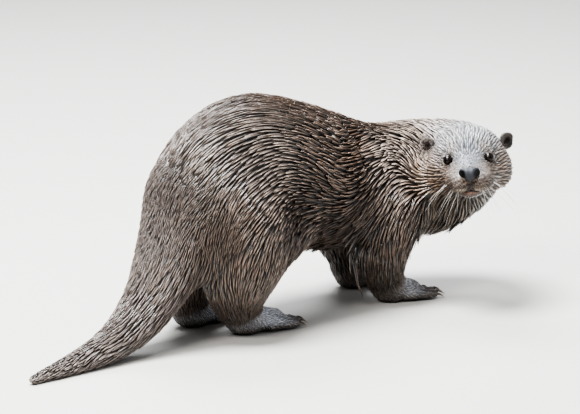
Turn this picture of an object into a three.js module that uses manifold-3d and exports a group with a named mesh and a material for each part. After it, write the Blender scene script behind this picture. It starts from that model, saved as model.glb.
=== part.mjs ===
// A Eurasian otter, life size: standing, back arched, tail on the floor, looking back over its right side.
// Millimetres. +X runs forward along the trunk, +Y to the animal's left, +Z up, and the floor is z = 0.
// The outer form is one smooth field of muscles, meshed and then cut into the parts of the body.
import * as THREE from "three";
import { mergeVertices } from "three/addons/utils/BufferGeometryUtils.js";
import Module from "manifold-3d";

const wasm = await Module();
wasm.setup();

// ---------------------------------------------------------------- driving dimensions
const SEAM = 0.4; // gap left at every cut between two parts
const OVERRUN = 14; // how far a part runs past its cut before it is trimmed
const SLIVER = 0.2; // details smaller than this are dropped
const SKY = 2400; // far larger than the animal, for trimming blocks

// Grid steps of the surfaces, finer where the form is finer, and the boxes that the grids fill.
const BODY_CELL = 20;
const LEG_CELL = 13;
const HEAD_CELL = 9.5;
const BODY_BOX = [
  [-270, -136, 44],
  [270, 119, 299],
];
const HEAD_BOX = [
  [-90, -63, -63],
  [90, 63, 63],
];
const LEG_REACH = [70, 58, 54]; // from the middle of a shank or forearm to its box's sides

const TRUNK_SLIMNESS = 1.1; // the trunk is this much deeper than it is wide
const TAIL_FLATNESS = 0.88; // the tail is this much deeper than it is wide

// The trunk from pelvis to the front of the chest: x, y, z, radius.
const TRUNK = [
  [-176, 0, 156, 58],
  [-140, 2, 173, 75],
  [-92, 5, 178, 83],
  [-30, 6, 162, 83],
  [40, 4, 142, 77],
  [98, 0, 132, 66],
  [128, -4, 130, 58],
];
// The tail from its root to its tip.
const TAIL = [
  [-186, 0, 146, 50],
  [-220, -3, 104, 41],
  [-254, -6, 64, 31],
  [-290, -9, 35, 25],
  [-338, -13, 17, 18],
  [-400, -18, 9, 11],
  [-455, -22, 5, 5.5],
];
// The neck sweeps round to the right, up to the back of the skull.
const NECK = [
  [118, 0, 134, 58],
  [154, -6, 144, 54],
  [184, -32, 152, 47],
  [190, -64, 158, 42],
  [176, -88, 160, 39],
];

const HEAD_PLACE = [147, -111, 166.5];
const HEAD_YAW = -138; // degrees, where 0 is straight ahead
const HEAD_PITCH = 5; // nose down
const HEAD_ROLL = 4; // right ear down

const EYE_RADIUS = 6;
const EYE_PLACE = [33, 22.8, 11.2];
const EAR_PLACE = [-30, 45, 11];
const EAR_SIZE = [8, 9.5, 5]; // half width, half height, half thickness
const NOSE_PLACE = [63, 0, 1];
const NOSE_SIZE = [7, 13, 8];
const JAW_CORNER = [27, 25, -16]; // the mouth line runs forward from here on both sides

const SIDES = { right: -1, left: 1 };
const LEFT = [0, 1, 0];

// ---------------------------------------------------------------- vectors and fields
const vec = (a) => new THREE.Vector3(...a);
const mix = (a, b, t) => a + (b - a) * t;
const clamp = THREE.MathUtils.clamp;
const radians = THREE.MathUtils.degToRad;

// A field is a function of a point: about the distance in mm to a surface, negative inside it.

// The round bar that narrows from one ball to another.
function bar(a, ra, b, rb) {
  const [ax, ay, az] = a;
  const ux = b[0] - ax;
  const uy = b[1] - ay;
  const uz = b[2] - az;
  const length2 = ux * ux + uy * uy + uz * uz;
  return (p) => {
    const x = p.x - ax;
    const y = p.y - ay;
    const z = p.z - az;
    const t = clamp((x * ux + y * uy + z * uz) / length2, 0, 1);
    return Math.hypot(x - ux * t, y - uy * t, z - uz * t) - mix(ra, rb, t);
  };
}

// A smooth tube through stations of x, y, z and radius.
function tube(stations, steps = 4) {
  const places = new THREE.CatmullRomCurve3(stations.map((s) => vec(s.slice(0, 3))));
  const radii = new THREE.CatmullRomCurve3(stations.map((s) => vec([s[3], 0, 0])));
  const count = (stations.length - 1) * steps;
  const bars = [];
  const station = (share) => [places.getPoint(share).toArray(), radii.getPoint(share).x];
  for (let i = 0; i < count; i++) bars.push(bar(...station(i / count), ...station((i + 1) / count)));
  return (p) => Math.min(...bars.map((f) => f(p)));
}

// A tube whose section is narrower across than it is deep, by slimness.
function slimTube(stations, slimness) {
  const round = tube(stations.map(([x, y, z, r]) => [x, y * slimness, z, r]));
  const q = new THREE.Vector3();
  return (p) => round(q.set(p.x, p.y * slimness, p.z));
}

// An egg-shaped muscle, turned by three angles in degrees.
function egg(centre, radii, turn = [0, 0, 0]) {
  const back = new THREE.Quaternion()
    .setFromEuler(new THREE.Euler(...turn.map(radians), "ZYX"))
    .invert();
  const [rx, ry, rz] = radii;
  const q = new THREE.Vector3();
  const middle = vec(centre);
  return (p) => {
    q.copy(p).sub(middle).applyQuaternion(back);
    const near = Math.hypot(q.x / rx, q.y / ry, q.z / rz);
    if (near < 1e-6) return -Math.min(rx, ry, rz);
    const slope = Math.hypot(q.x / (rx * rx), q.y / (ry * ry), q.z / (rz * rz));
    return (near * (near - 1)) / slope;
  };
}

// Fields melted into one another over a width of soft mm.
function melt(soft, ...fields) {
  return (p) =>
    fields
      .map((f) => f(p))
      .reduce((a, b) => {
        const near = Math.max(soft - Math.abs(a - b), 0) / soft;
        return Math.min(a, b) - (near * near * soft) / 4;
      });
}

// A field given in another frame, such as the head's own.
function inFrame(matrix, field) {
  const back = matrix.clone().invert();
  const q = new THREE.Vector3();
  return (p) => field(q.copy(p).applyMatrix4(back));
}

// ---------------------------------------------------------------- solids
// A geometry as a manifold-3d solid, with only its places kept.
function solid(geometry) {
  const plain = new THREE.BufferGeometry().setAttribute("position", geometry.getAttribute("position"));
  if (geometry.index) plain.setIndex(geometry.index);
  const merged = mergeVertices(plain, 1e-3);
  const vertProperties = new Float32Array(merged.getAttribute("position").array);
  return new wasm.Manifold(
    new wasm.Mesh({ numProp: 3, vertProperties, triVerts: new Uint32Array(merged.index.array) }),
  );
}

// A solid as a geometry, without the slivers that cuts leave.
function geometryOf(made) {
  const mesh = made.simplify(SLIVER).getMesh();
  const places = new Float32Array(mesh.numVert * 3);
  for (let i = 0; i < mesh.numVert; i++)
    places.set(mesh.vertProperties.subarray(i * mesh.numProp, i * mesh.numProp + 3), i * 3);
  const geometry = new THREE.BufferGeometry();
  geometry.setAttribute("position", new THREE.BufferAttribute(places, 3));
  geometry.setIndex(new THREE.BufferAttribute(new Uint32Array(mesh.triVerts), 1));
  geometry.computeVertexNormals();
  return geometry;
}

// A capsule bent along a curve, each vertex sent out along its own ray as far as reach says.
function wrap(curve, { around, along, cap, sideways }, reach) {
  const capsule = new THREE.CapsuleGeometry(1, 1, cap, around, along);
  const places = capsule.getAttribute("position");
  const reference = vec(sideways);
  for (let i = 0; i < places.count; i++) {
    const [x, y, z] = [places.getX(i), places.getY(i), places.getZ(i)];
    const onAxis = clamp(y, -0.5, 0.5);
    const share = onAxis + 0.5;
    const origin = curve.getPointAt(share);
    const ahead = curve.getTangentAt(share);
    const rise = reference.clone().cross(ahead).normalize();
    const side = ahead.clone().cross(rise);
    const ray = side.multiplyScalar(x).addScaledVector(ahead, y - onAxis).addScaledVector(rise, z);
    ray.normalize();
    const out = origin.addScaledVector(ray, reach(origin, ray, share));
    places.setXYZ(i, out.x, out.y, out.z);
  }
  return solid(capsule);
}

// The way out along a ray to where the field turns positive: first in strides, then by halving.
function outTo(field) {
  const p = new THREE.Vector3();
  const [mostStrides, shortest, halvings] = [120, 0.4, 7];
  return (origin, ray) => {
    let [inside, distance] = [0, shortest];
    for (let i = 0; i < mostStrides; i++) {
      const value = field(p.copy(origin).addScaledVector(ray, distance));
      if (value > 0) break;
      inside = distance;
      distance += Math.max(-value * 0.7, shortest);
    }
    for (let i = 0; i < halvings; i++) {
      const middle = (inside + distance) / 2;
      if (field(p.copy(origin).addScaledVector(ray, middle)) > 0) distance = middle;
      else inside = middle;
    }
    return inside;
  };
}

// A point moved straight on to the surface of a field, by no more than reach.
function settle(field, p, reach) {
  const start = p.clone();
  const slope = new THREE.Vector3();
  for (let step = 0; step < 3; step++) {
    const value = field(p);
    for (const axis of ["x", "y", "z"]) {
      const near = p.clone();
      near[axis] += 0.5;
      slope[axis] = (field(near) - value) / 0.5;
    }
    p.addScaledVector(slope, -value / Math.max(slope.lengthSq(), 0.2));
  }
  return p.sub(start).clampLength(0, reach).add(start);
}

// The four corners of a square, and a grid place moved by u and v along the two axes across the named one.
const SQUARE = [[0, 0], [1, 0], [1, 1], [0, 1]];
function stepped(place, axis, u, v) {
  const other = [...place];
  other[(axis + 1) % 3] += u;
  other[(axis + 2) % 3] += v;
  return other;
}

// The surface of a field inside a box, from a grid of cubes: one vertex in each cube that it crosses.
function crust(field, [low, high], cell) {
  const counts = low.map((l, k) => Math.ceil((high[k] - l) / cell) + 1);
  const [nx, ny, nz] = counts;
  const index = (i, j, k) => i + nx * (j + ny * k);
  const values = new Float32Array(nx * ny * nz);
  const p = new THREE.Vector3();
  const atRim = (i, j, k) => !i || !j || !k || i === nx - 1 || j === ny - 1 || k === nz - 1;
  for (let k = 0; k < nz; k++)
    for (let j = 0; j < ny; j++)
      for (let i = 0; i < nx; i++) {
        p.set(low[0] + i * cell, low[1] + j * cell, low[2] + k * cell);
        values[index(i, j, k)] = atRim(i, j, k) ? cell : field(p);
      }
  const inside = (i, j, k) => values[index(i, j, k)] < 0;

  // A crevice narrower than the grid is filled, so that the surface never touches itself:
  // where two corners of a square are inside only across its diagonal, the nearer of the others goes in.
  const fillAt = (corners) => {
    const [a, b, c, d] = corners.map((corner) => index(...corner));
    const [ina, inb, inc, ind] = [a, b, c, d].map((n) => values[n] < 0);
    if (ina !== inc || inb !== ind || ina === inb) return false;
    const others = ina ? [b, d] : [a, c];
    values[values[others[0]] < values[others[1]] ? others[0] : others[1]] = -cell / 10;
    return true;
  };
  for (let filled = true; filled; ) {
    filled = false;
    for (let k = 0; k + 1 < nz; k++)
      for (let j = 0; j + 1 < ny; j++)
        for (let i = 0; i + 1 < nx; i++)
          for (const axis of [0, 1, 2]) {
            const square = SQUARE.map(([u, v]) => stepped([i, j, k], axis, u, v));
            filled = fillAt(square) || filled;
          }
  }

  // The cube's vertex is the mean of the points where its edges cross the surface.
  const places = [];
  const vertexOf = new Map();
  for (let k = 0; k + 1 < nz; k++)
    for (let j = 0; j + 1 < ny; j++)
      for (let i = 0; i + 1 < nx; i++) {
        const crossings = [];
        for (const axis of [0, 1, 2])
          for (const [u, v] of SQUARE) {
            const a = stepped([i, j, k], axis, u, v);
            const b = [...a];
            b[axis] += 1;
            const [va, vb] = [values[index(...a)], values[index(...b)]];
            if (va < 0 === vb < 0) continue;
            a[axis] += va / (va - vb);
            crossings.push(a);
          }
        if (!crossings.length) continue;
        vertexOf.set(index(i, j, k), places.length / 3);
        const mean = (axis) => crossings.reduce((sum, c) => sum + c[axis], 0) / crossings.length;
        p.set(...low.map((l, axis) => l + cell * mean(axis)));
        places.push(...settle(field, p, cell / 3).toArray());
      }

  // Each grid edge that crosses the surface joins the four cubes round it with two triangles.
  const placeOf = (n) => vec(places.slice(3 * n, 3 * n + 3));
  const apart = (a, b) => placeOf(a).distanceTo(placeOf(b));
  const faces = [];
  for (let k = 0; k + 1 < nz; k++)
    for (let j = 0; j + 1 < ny; j++)
      for (let i = 0; i + 1 < nx; i++)
        for (const axis of [0, 1, 2]) {
          const b = [i, j, k];
          b[axis] += 1;
          if (inside(i, j, k) === inside(...b)) continue;
          const corners = SQUARE.map(([u, v]) => vertexOf.get(index(...stepped([i, j, k], axis, -u, -v))));
          if (!inside(i, j, k)) corners.reverse();
          const [c0, c1, c2, c3] = corners;
          if (apart(c0, c2) < apart(c1, c3)) faces.push(c0, c1, c2, c0, c2, c3);
          else faces.push(c1, c2, c3, c1, c3, c0);
        }
  const geometry = new THREE.BufferGeometry();
  geometry.setAttribute("position", new THREE.Float32BufferAttribute(places, 3));
  return solid(geometry.setIndex(faces));
}

const curveOf = (stations) => new THREE.CatmullRomCurve3(stations.map((s) => vec(s.slice(0, 3))));

// A flat cut through a point, with the kept side against its normal.
const cut = (point, normal) => ({ point: vec(point), normal: vec(normal).normalize() });
const FLOOR = cut([0, 0, 0], [0, 0, -1]);
const moved = ({ point, normal }, frame) => ({
  point: point.clone().applyMatrix4(frame),
  normal: normal.clone().transformDirection(frame),
});
const turned = ({ point, normal }) => ({ point, normal: normal.clone().negate() });

function beyond({ point, normal }) {
  return (p) => (p.x - point.x) * normal.x + (p.y - point.y) * normal.y + (p.z - point.z) * normal.z;
}

// The block that fills all that lies past a cut, short of it by gap.
function blockPast({ point, normal }, gap = SEAM / 2) {
  const block = new THREE.BoxGeometry(SKY, SKY, SKY);
  const turn = new THREE.Quaternion().setFromUnitVectors(new THREE.Vector3(0, 0, 1), normal);
  const centre = point.clone().addScaledVector(normal, SKY / 2 - gap);
  return solid(block.applyMatrix4(new THREE.Matrix4().compose(centre, turn, new THREE.Vector3(1, 1, 1))));
}

// The parts on this side of a cut and past it.
const split = (made, c) => [trim(made, c), trim(made, turned(c))];
const trim = (made, ...cuts) => cuts.reduce((kept, c) => kept.subtract(blockPast(c)), made);

// The convex room between some cuts, as a solid grown by gap on every side.
function room(cuts, gap) {
  const whole = solid(new THREE.BoxGeometry(SKY, SKY, SKY));
  return cuts.reduce((kept, c) => kept.subtract(blockPast(c, -gap)), whole);
}

// A field that ends a little past each of some cuts.
function within(field, cuts) {
  const walls = cuts.map(beyond);
  return (p) => walls.reduce((far, wall) => Math.max(far, wall(p) - OVERRUN), field(p));
}

// ---------------------------------------------------------------- the legs
const CHEEK = cut([118, -76, 150], [-0.1, -0.85, 0.5]); // the right cheek's side of the shoulder

// Each leg: its joints as x, y, z, radius from the body down, and the foot's own frame on the floor.
// The room holds the thigh or upper arm: the cuts round it part it from the trunk.
const LEGS = {
  hind_right: {
    muscles: [
      egg([-142, -38, 140], [56, 38, 62], [0, -20, 0]),
      bar([-126, -42, 88], 33, [-60, -38, 108], 22),
    ],
    joints: [
      [-148, -38, 128, 48],
      [-160, -42, 86, 44],
      [-156, -36, 52, 33],
      [-144, -29, 20, 18],
    ],
    foot: { heel: [-134, -25], heading: -9, kind: "hind" },
    knee: cut([-150, -40, 62], [0, 0, 1]),
    room: [
      cut([-130, -8, 40], [0, 125, 44]),
      cut([-130, -60, 160], [0.25, 0.1, 1]),
      cut([-222, -30, 60], [-1, 0, -0.4]),
      cut([-72, -30, 60], [1, 0, -0.5]),
    ],
  },
  hind_left: {
    muscles: [
      egg([-146, 38, 140], [54, 38, 60], [0, -10, 0]),
      bar([-128, 42, 88], 33, [-64, 38, 108], 22),
    ],
    joints: [
      [-150, 40, 128, 45],
      [-152, 44, 84, 38],
      [-160, 42, 46, 27],
      [-158, 40, 20, 18],
    ],
    foot: { heel: [-150, 39], heading: 6, kind: "hind" },
    knee: cut([-150, 40, 62], [0, 0, 1]),
    room: [
      cut([-140, 8, 40], [0, -125, 44]),
      cut([-140, 60, 160], [0.25, -0.1, 1]),
      cut([-222, 30, 60], [-1, 0, -0.6]),
      cut([-80, 30, 60], [1, 0, -0.5]),
    ],
  },
  fore_right: {
    muscles: [egg([96, -38, 116], [40, 32, 46], [0, 10, 0])],
    joints: [
      [96, -42, 104, 38],
      [76, -45, 70, 32],
      [78, -42, 40, 25],
      [90, -38, 16, 16],
    ],
    foot: { heel: [90, -38], heading: -11, kind: "fore" },
    knee: cut([80, -42, 58], [0, 0, 1]),
    room: [
      cut([100, -6, 40], [0, 110, 40]),
      cut([100, -55, 118], [0, 0.2, 1]),
      cut([36, -30, 60], [-1, 0, 0]),
      cut([142, -30, 60], [1, 0, 0.2]),
      CHEEK,
    ],
  },
  fore_left: {
    muscles: [egg([104, 36, 116], [40, 32, 46], [0, 10, 0])],
    joints: [
      [106, 42, 104, 38],
      [100, 46, 70, 30],
      [108, 43, 40, 22],
      [114, 40, 16, 15],
    ],
    foot: { heel: [110, 39], heading: 7, kind: "fore" },
    knee: cut([104, 42, 58], [0, 0, 1]),
    room: [
      cut([100, 6, 40], [0, -110, 40]),
      cut([100, 55, 118], [0, -0.2, 1]),
      cut([52, 30, 60], [-1, 0, 0]),
      cut([158, 30, 60], [1, 0, 0.2]),
    ],
  },
};

// A foot: the metapodial pad from heel to knuckles, then five toes, in mm from the heel.
const FEET = {
  hind: {
    pad: [
      [2, 0, 15, 17],
      [22, 0, 13, 15],
      [44, 0, 10, 13],
    ],
    padWidth: 1.35,
    knuckles: 42,
    spread: 8.6, // between neighbouring toes at the knuckles
    fan: 4, // degrees between neighbouring toes
    toes: [26, 32, 34, 33, 28],
    toeRadius: [7.2, 5.4],
    ankle: cut([0, 0, 30], [-0.35, 0, 1]),
  },
  fore: {
    pad: [
      [4, 0, 14, 15],
      [20, 0, 12, 14],
      [36, 0, 10, 12],
    ],
    padWidth: 1.45,
    knuckles: 34,
    spread: 8.8,
    fan: 9,
    toes: [25, 31, 34, 32, 26],
    toeRadius: [6.6, 5],
    ankle: cut([0, 0, 27], [-0.25, 0, 1]),
  },
};
const CLAW_LENGTH = 8;
const CLAW_RADIUS = 2.1;

function footFrame({ heel, heading }) {
  const turn = new THREE.Matrix4().makeRotationZ(radians(heading));
  return turn.setPosition(heel[0], heel[1], 0);
}

// ---------------------------------------------------------------- the head's forms, in its own frame
// +X towards the nose, +Y to the animal's left, +Z to the crown, from the middle of the skull.
const headFrame = new THREE.Matrix4().makeRotationFromEuler(
  new THREE.Euler(radians(HEAD_ROLL), radians(HEAD_PITCH), radians(HEAD_YAW), "ZYX"),
);
headFrame.setPosition(...HEAD_PLACE);

const inHead = (c) => moved(c, headFrame);
const both = (make) => Object.values(SIDES).map(make);

const headForms = melt(
  9,
  egg([-14, 0, 1], [50, 38, 31]),
  bar([6, 0, 10], 22, [52, 0, 1], 12),
  ...both((s) => egg([-4, s * 26, -8], [34, 23, 26])),
  ...both((s) => egg([-8, s * 25, -20], [32, 23, 26])),
  ...both((s) => egg([22, s * 15, 8], [17, 14, 13])),
  ...both((s) => egg([46, s * 12, -9], [19, 15, 12.5])),
  ...both((s) => egg([27, s * 21, -8], [22, 13, 14])),
  egg([35, 0, -18.5], [26, 15, 13.5]),
  egg([-6, 0, -24], [42, 32, 20]),
);

// ---------------------------------------------------------------- the whole body's field
const trunk = slimTube(TRUNK, TRUNK_SLIMNESS);
const tail = slimTube(TAIL, TAIL_FLATNESS);
const throat = melt(20, egg([166, -38, 123], [46, 52, 56]), egg([170, -80, 127], [34, 36, 34]));
const head = inFrame(headFrame, headForms);
const footField = ({ foot }) => {
  const { pad, padWidth } = FEET[foot.kind];
  return inFrame(footFrame(foot), slimTube(pad, 1 / padWidth));
};
const legs = Object.values(LEGS);
const muscles = legs.flatMap((leg) => leg.muscles);
const torso = melt(26, trunk, tail, ...muscles);
const limb = (leg) => melt(14, tube(leg.joints), footField(leg));
const limbs = legs.map(limb);
// One leg alone on the trunk, so that nothing else reaches into its grid.
const legField = (leg) => melt(20, melt(26, trunk, ...muscles), limb(leg));
const body = melt(20, torso, melt(15, melt(24, tube(NECK), throat), head), ...limbs);

// ---------------------------------------------------------------- cuts along the spine
const CUTS = {
  tip: cut([-372, -15, 15], [-1, 0, 0.25]),
  middle: cut([-276, -8, 44], [-0.82, 0, -0.57]),
  root: cut([-206, 0, 128], [-0.72, 0, -0.69]),
  loin: cut([-78, 0, 150], [-1, 0, 0.12]),
  ribs: cut([34, 0, 140], [-1, 0, -0.15]),
  breast: cut([142, -8, 140], [0.93, -0.36, 0.1]),
};

// The room that the head fills: in front of the nape, above the gullet and clear of the shoulder.
const NAPE = inHead(cut([-47, 0, 0], [-1, 0, 0.12]));
const GULLET = inHead(cut([30, 0, -38], [-0.35, 0, -1]));
const HEAD_ROOM = [NAPE, GULLET, turned(CHEEK)];

// ---------------------------------------------------------------- building
const otter = new THREE.Group();

const MATERIALS = {
  coat: new THREE.MeshStandardMaterial({ color: 0x5f5249, roughness: 0.55, metalness: 0 }),
  bare_skin: new THREE.MeshStandardMaterial({ color: 0x3c3634, roughness: 0.5, metalness: 0 }),
  eye: new THREE.MeshStandardMaterial({ color: 0x0d0a09, roughness: 0.08, metalness: 0 }),
  claw: new THREE.MeshStandardMaterial({ color: 0x6b5444, roughness: 0.45, metalness: 0 }),
};

// Crumbs that a cut leaves beside a part are dropped.
const largest = (made) => made.decompose().reduce((a, b) => (b.volume() > a.volume() ? b : a));

function addNode(name, made, material) {
  const mesh = new THREE.Mesh(geometryOf(largest(made)), MATERIALS[material]);
  mesh.name = name;
  otter.add(mesh);
}

function tailSolid() {
  const axis = curveOf([...[...TAIL].reverse(), TRUNK[1]]);
  return wrap(axis, { around: 13, along: 19, cap: 2, sideways: LEFT }, outTo(melt(26, trunk, tail)));
}

// The head is meshed in its own frame, so its two halves match.
function headSolid() {
  const p = new THREE.Vector3();
  const field = within(body, HEAD_ROOM);
  const own = (q) => field(p.copy(q).applyMatrix4(headFrame));
  return crust(own, HEAD_BOX, HEAD_CELL).transform([...headFrame.elements]);
}

// Small pieces set in the head, in its frame, each grown by gap.
function eyeball(side, gap = 0) {
  const ball = new THREE.SphereGeometry(EYE_RADIUS + gap, 9, 6);
  ball.translate(EYE_PLACE[0], side * EYE_PLACE[1], EYE_PLACE[2]);
  return solid(ball.applyMatrix4(headFrame));
}

function ear(side, gap = 0) {
  const [width, height, thickness] = EAR_SIZE.map((s) => s + gap);
  const shell = solid(new THREE.SphereGeometry(1, 10, 6).scale(thickness, width, height));
  const bowl = new THREE.SphereGeometry(1, 8, 4).scale(thickness, width * 0.62, height * 0.66);
  const cupped = gap ? shell : shell.subtract(solid(bowl.translate(thickness * 0.95, 0, height * 0.12)));
  const turn = new THREE.Matrix4().makeRotationFromEuler(
    new THREE.Euler(radians(-12 * side), radians(8), radians(28 * side), "ZYX"),
  );
  turn.setPosition(EAR_PLACE[0], side * EAR_PLACE[1], EAR_PLACE[2]);
  return cupped.transform([...headFrame.clone().multiply(turn).elements]);
}

function nosePad(gap = 0) {
  const pad = new THREE.SphereGeometry(1, 11, 6).scale(...NOSE_SIZE.map((s) => s + gap));
  const places = pad.getAttribute("position");
  for (let i = 0; i < places.count; i++) {
    const narrowing = mix(0.72, 1.05, clamp(0.5 + places.getZ(i) / (2 * NOSE_SIZE[2]), 0, 1));
    places.setY(i, places.getY(i) * narrowing);
  }
  return solid(pad.translate(...NOSE_PLACE).applyMatrix4(headFrame));
}

function jawRoom(gap) {
  const [length, width, depth] = [70, 2 * JAW_CORNER[1], 60];
  const block = new THREE.BoxGeometry(length + gap * 2, width + gap * 2, depth + gap * 2);
  const place = new THREE.Matrix4().makeRotationY(radians(-4));
  place.setPosition(JAW_CORNER[0] + length / 2, 0, JAW_CORNER[2] - depth / 2);
  return solid(block.applyMatrix4(place).applyMatrix4(headFrame));
}

function buildHead() {
  let whole = trim(headSolid(), ...HEAD_ROOM);
  for (const [name, side] of Object.entries(SIDES)) {
    whole = whole.subtract(eyeball(side, SEAM)).subtract(ear(side, SEAM));
    addNode(`eye_${name}`, eyeball(side), "eye");
    addNode(`ear_${name}`, ear(side), "coat");
  }
  whole = whole.subtract(nosePad(SEAM));
  addNode("nose_pad", nosePad(), "bare_skin");
  addNode("lower_jaw", whole.intersect(jawRoom(0)), "coat");
  addNode("head", whole.subtract(jawRoom(SEAM)), "coat");
}

// One leg: thigh or upper arm from the body, then shank or forearm, foot and its five claws.
function buildLeg(name, leg, upper) {
  const frame = footFrame(leg.foot);
  const { ankle } = FEET[leg.foot.kind];
  const ankleCut = moved(ankle, frame);
  const shin = leg.joints[2];
  const box = [-1, 1].map((way) => LEG_REACH.map((reach, axis) => shin[axis] + way * reach));
  const cuts = [leg.knee, turned(ankleCut), leg.room[0]];
  const names = leg.foot.kind === "hind" ? ["thigh", "shank"] : ["upper_arm", "forearm"];
  addNode(`${names[0]}_${name}`, upper, "coat");
  addNode(`${names[1]}_${name}`, trim(crust(within(legField(leg), cuts), box, LEG_CELL), ...cuts), "coat");
  buildFoot(name, leg, ankleCut);
}

function toeLine({ knuckles, spread, fan, toes, toeRadius }, index) {
  const offset = index - 2;
  const angle = radians(offset * fan);
  const start = vec([knuckles - Math.abs(offset) * 3, offset * spread, toeRadius[0] + 1]);
  const ahead = vec([Math.cos(angle), Math.sin(angle), 0]);
  const end = start.clone().addScaledVector(ahead, toes[index]).setZ(toeRadius[1]);
  const knuckle = start.clone().lerp(end, 0.5).setZ(toeRadius[0] + 2.2);
  return new THREE.QuadraticBezierCurve3(start.clone().setX(start.x - 12), knuckle, end);
}

function claw(kind, index, frame, gap = 0) {
  const { toeRadius } = kind;
  const tip = toeLine(kind, index).getPointAt(1);
  const ahead = toeLine(kind, index).getTangentAt(1).setZ(0).normalize();
  const root = tip.clone().addScaledVector(ahead, toeRadius[1] * 0.35).setZ(tip.z + 1.2);
  const end = root.clone().addScaledVector(ahead, CLAW_LENGTH).setZ(2.6);
  const bend = root.clone().lerp(end, 0.55).setZ(root.z + 0.6);
  const line = new THREE.QuadraticBezierCurve3(root, bend, end);
  const reach = (_origin, _ray, share) => mix(CLAW_RADIUS, 0.7, share) + gap;
  return wrap(line, { around: 5, along: 1, cap: 1, sideways: LEFT }, reach).transform([...frame.elements]);
}

function buildFoot(name, leg, ankleCut) {
  const kind = FEET[leg.foot.kind];
  const frame = footFrame(leg.foot);
  const padAxis = curveOf(kind.pad.map((s) => vec(s.slice(0, 3)).applyMatrix4(frame).toArray()));
  const padShape = { around: 8, along: 3, cap: 2, sideways: LEFT };
  let foot = wrap(padAxis, padShape, outTo(within(legField(leg), [ankleCut, FLOOR])));
  const web = new THREE.SphereGeometry(1, 7, 3).scale(kind.toes[2] * 0.85, kind.spread * 2.5, 3.6);
  foot = foot.add(solid(web.translate(kind.knuckles, 0, 4.6).applyMatrix4(frame)));
  for (const index of kind.toes.keys()) {
    const reach = (_origin, _ray, share) => mix(...kind.toeRadius, share);
    const toe = wrap(toeLine(kind, index), { around: 5, along: 1, cap: 1, sideways: LEFT }, reach);
    foot = foot.add(toe.transform([...frame.elements]));
  }
  foot = foot.subtract(blockPast(ankleCut)).subtract(blockPast(FLOOR, 0));
  for (const index of kind.toes.keys()) {
    foot = foot.subtract(claw(kind, index, frame, SEAM));
    addNode(`claw_${name}_${index + 1}`, claw(kind, index, frame), "claw");
  }
  addNode(`foot_${name}`, foot, "coat");
}

// The trunk and neck come from one surface; the tops of the legs are cut out of it.
function buildBody() {
  const { tip, middle, root, loin, ribs, breast } = CUTS;
  const whole = crust(body, BODY_BOX, BODY_CELL);
  let trunkPart = whole;
  let tailPart = trim(tailSolid(), turned(root)).subtract(blockPast(FLOOR, 0));
  for (const [name, leg] of Object.entries(LEGS)) {
    const upper = whole.intersect(room(leg.room, -SEAM / 2));
    buildLeg(name, leg, trim(upper, turned(leg.knee)));
    trunkPart = trunkPart.subtract(room(leg.room, SEAM / 2));
    tailPart = tailPart.subtract(room(leg.room, SEAM / 2));
  }
  const [tailBase, tailRest] = split(tailPart, middle);
  const [tailMiddle, tailTip] = split(tailRest, tip);
  const [frontPart, rump] = split(trim(trunkPart, root), loin);
  const [chestPart, belly] = split(frontPart, ribs);
  const [chest, neckPart] = split(chestPart.subtract(room(HEAD_ROOM, SEAM / 2)), breast);
  addNode("tail_tip", tailTip, "coat");
  addNode("tail_middle", tailMiddle, "coat");
  addNode("tail_base", tailBase, "coat");
  addNode("rump", rump, "coat");
  addNode("belly", belly, "coat");
  addNode("chest", chest, "coat");
  addNode("neck", neckPart.subtract(ear(SIDES.right, SEAM)), "coat");
}

buildBody();
buildHead();

// The origin goes to the floor under the middle of the whole.
const bounds = new THREE.Box3().setFromObject(otter);
const middle = bounds.getCenter(new THREE.Vector3());
for (const mesh of otter.children) mesh.geometry.translate(-middle.x, -middle.y, 0);

export default otter;
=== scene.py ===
"""A Eurasian otter, life size: one skin over the solids of flesh, and a wet coat of solid hair over it.

In metres and in the solids' own frame: +X forward along the trunk, +Y to the animal's left, +Z up, and the
floor at 0. Tables are in millimetres, and MM turns them into metres. Colours are linear.
"""

import math

import bmesh
import bpy
import numpy as np
from mathutils import Matrix, Vector
from mathutils.bvhtree import BVHTree
from mathutils.kdtree import KDTree


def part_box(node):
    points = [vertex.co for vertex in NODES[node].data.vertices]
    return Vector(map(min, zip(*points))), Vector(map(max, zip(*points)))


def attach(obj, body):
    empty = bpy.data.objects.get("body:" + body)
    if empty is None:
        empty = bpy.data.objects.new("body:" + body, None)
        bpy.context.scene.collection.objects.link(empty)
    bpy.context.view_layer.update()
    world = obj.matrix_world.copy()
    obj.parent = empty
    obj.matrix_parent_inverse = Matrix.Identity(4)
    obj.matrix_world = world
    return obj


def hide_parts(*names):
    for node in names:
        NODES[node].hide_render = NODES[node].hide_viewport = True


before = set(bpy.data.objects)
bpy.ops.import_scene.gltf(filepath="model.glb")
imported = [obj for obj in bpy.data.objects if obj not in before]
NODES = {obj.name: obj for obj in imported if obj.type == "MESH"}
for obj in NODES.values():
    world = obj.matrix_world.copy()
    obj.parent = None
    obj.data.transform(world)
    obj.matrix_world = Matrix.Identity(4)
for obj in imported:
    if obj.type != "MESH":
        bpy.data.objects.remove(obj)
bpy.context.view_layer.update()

MM = 0.001

# ---------------------------------------------------------------- camera, floor and light
IMAGE_WIDTH = 580
PIXEL = 1.12 * MM  # at the target
CAMERA_AZIMUTH = math.radians(-47)
CAMERA_ELEVATION = math.radians(12)
CAMERA_DISTANCE = 5.0
CAMERA_TARGET = Vector((0.0603, 0.0203, 0.130))
SENSOR = 36.0
FLOOR_SIZE = 14.0
SKY_COLOUR = (0.93, 0.96, 1.0, 1)
SKY_STRENGTH = 0.5
CONTRAST = "AgX - High Contrast"
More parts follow.
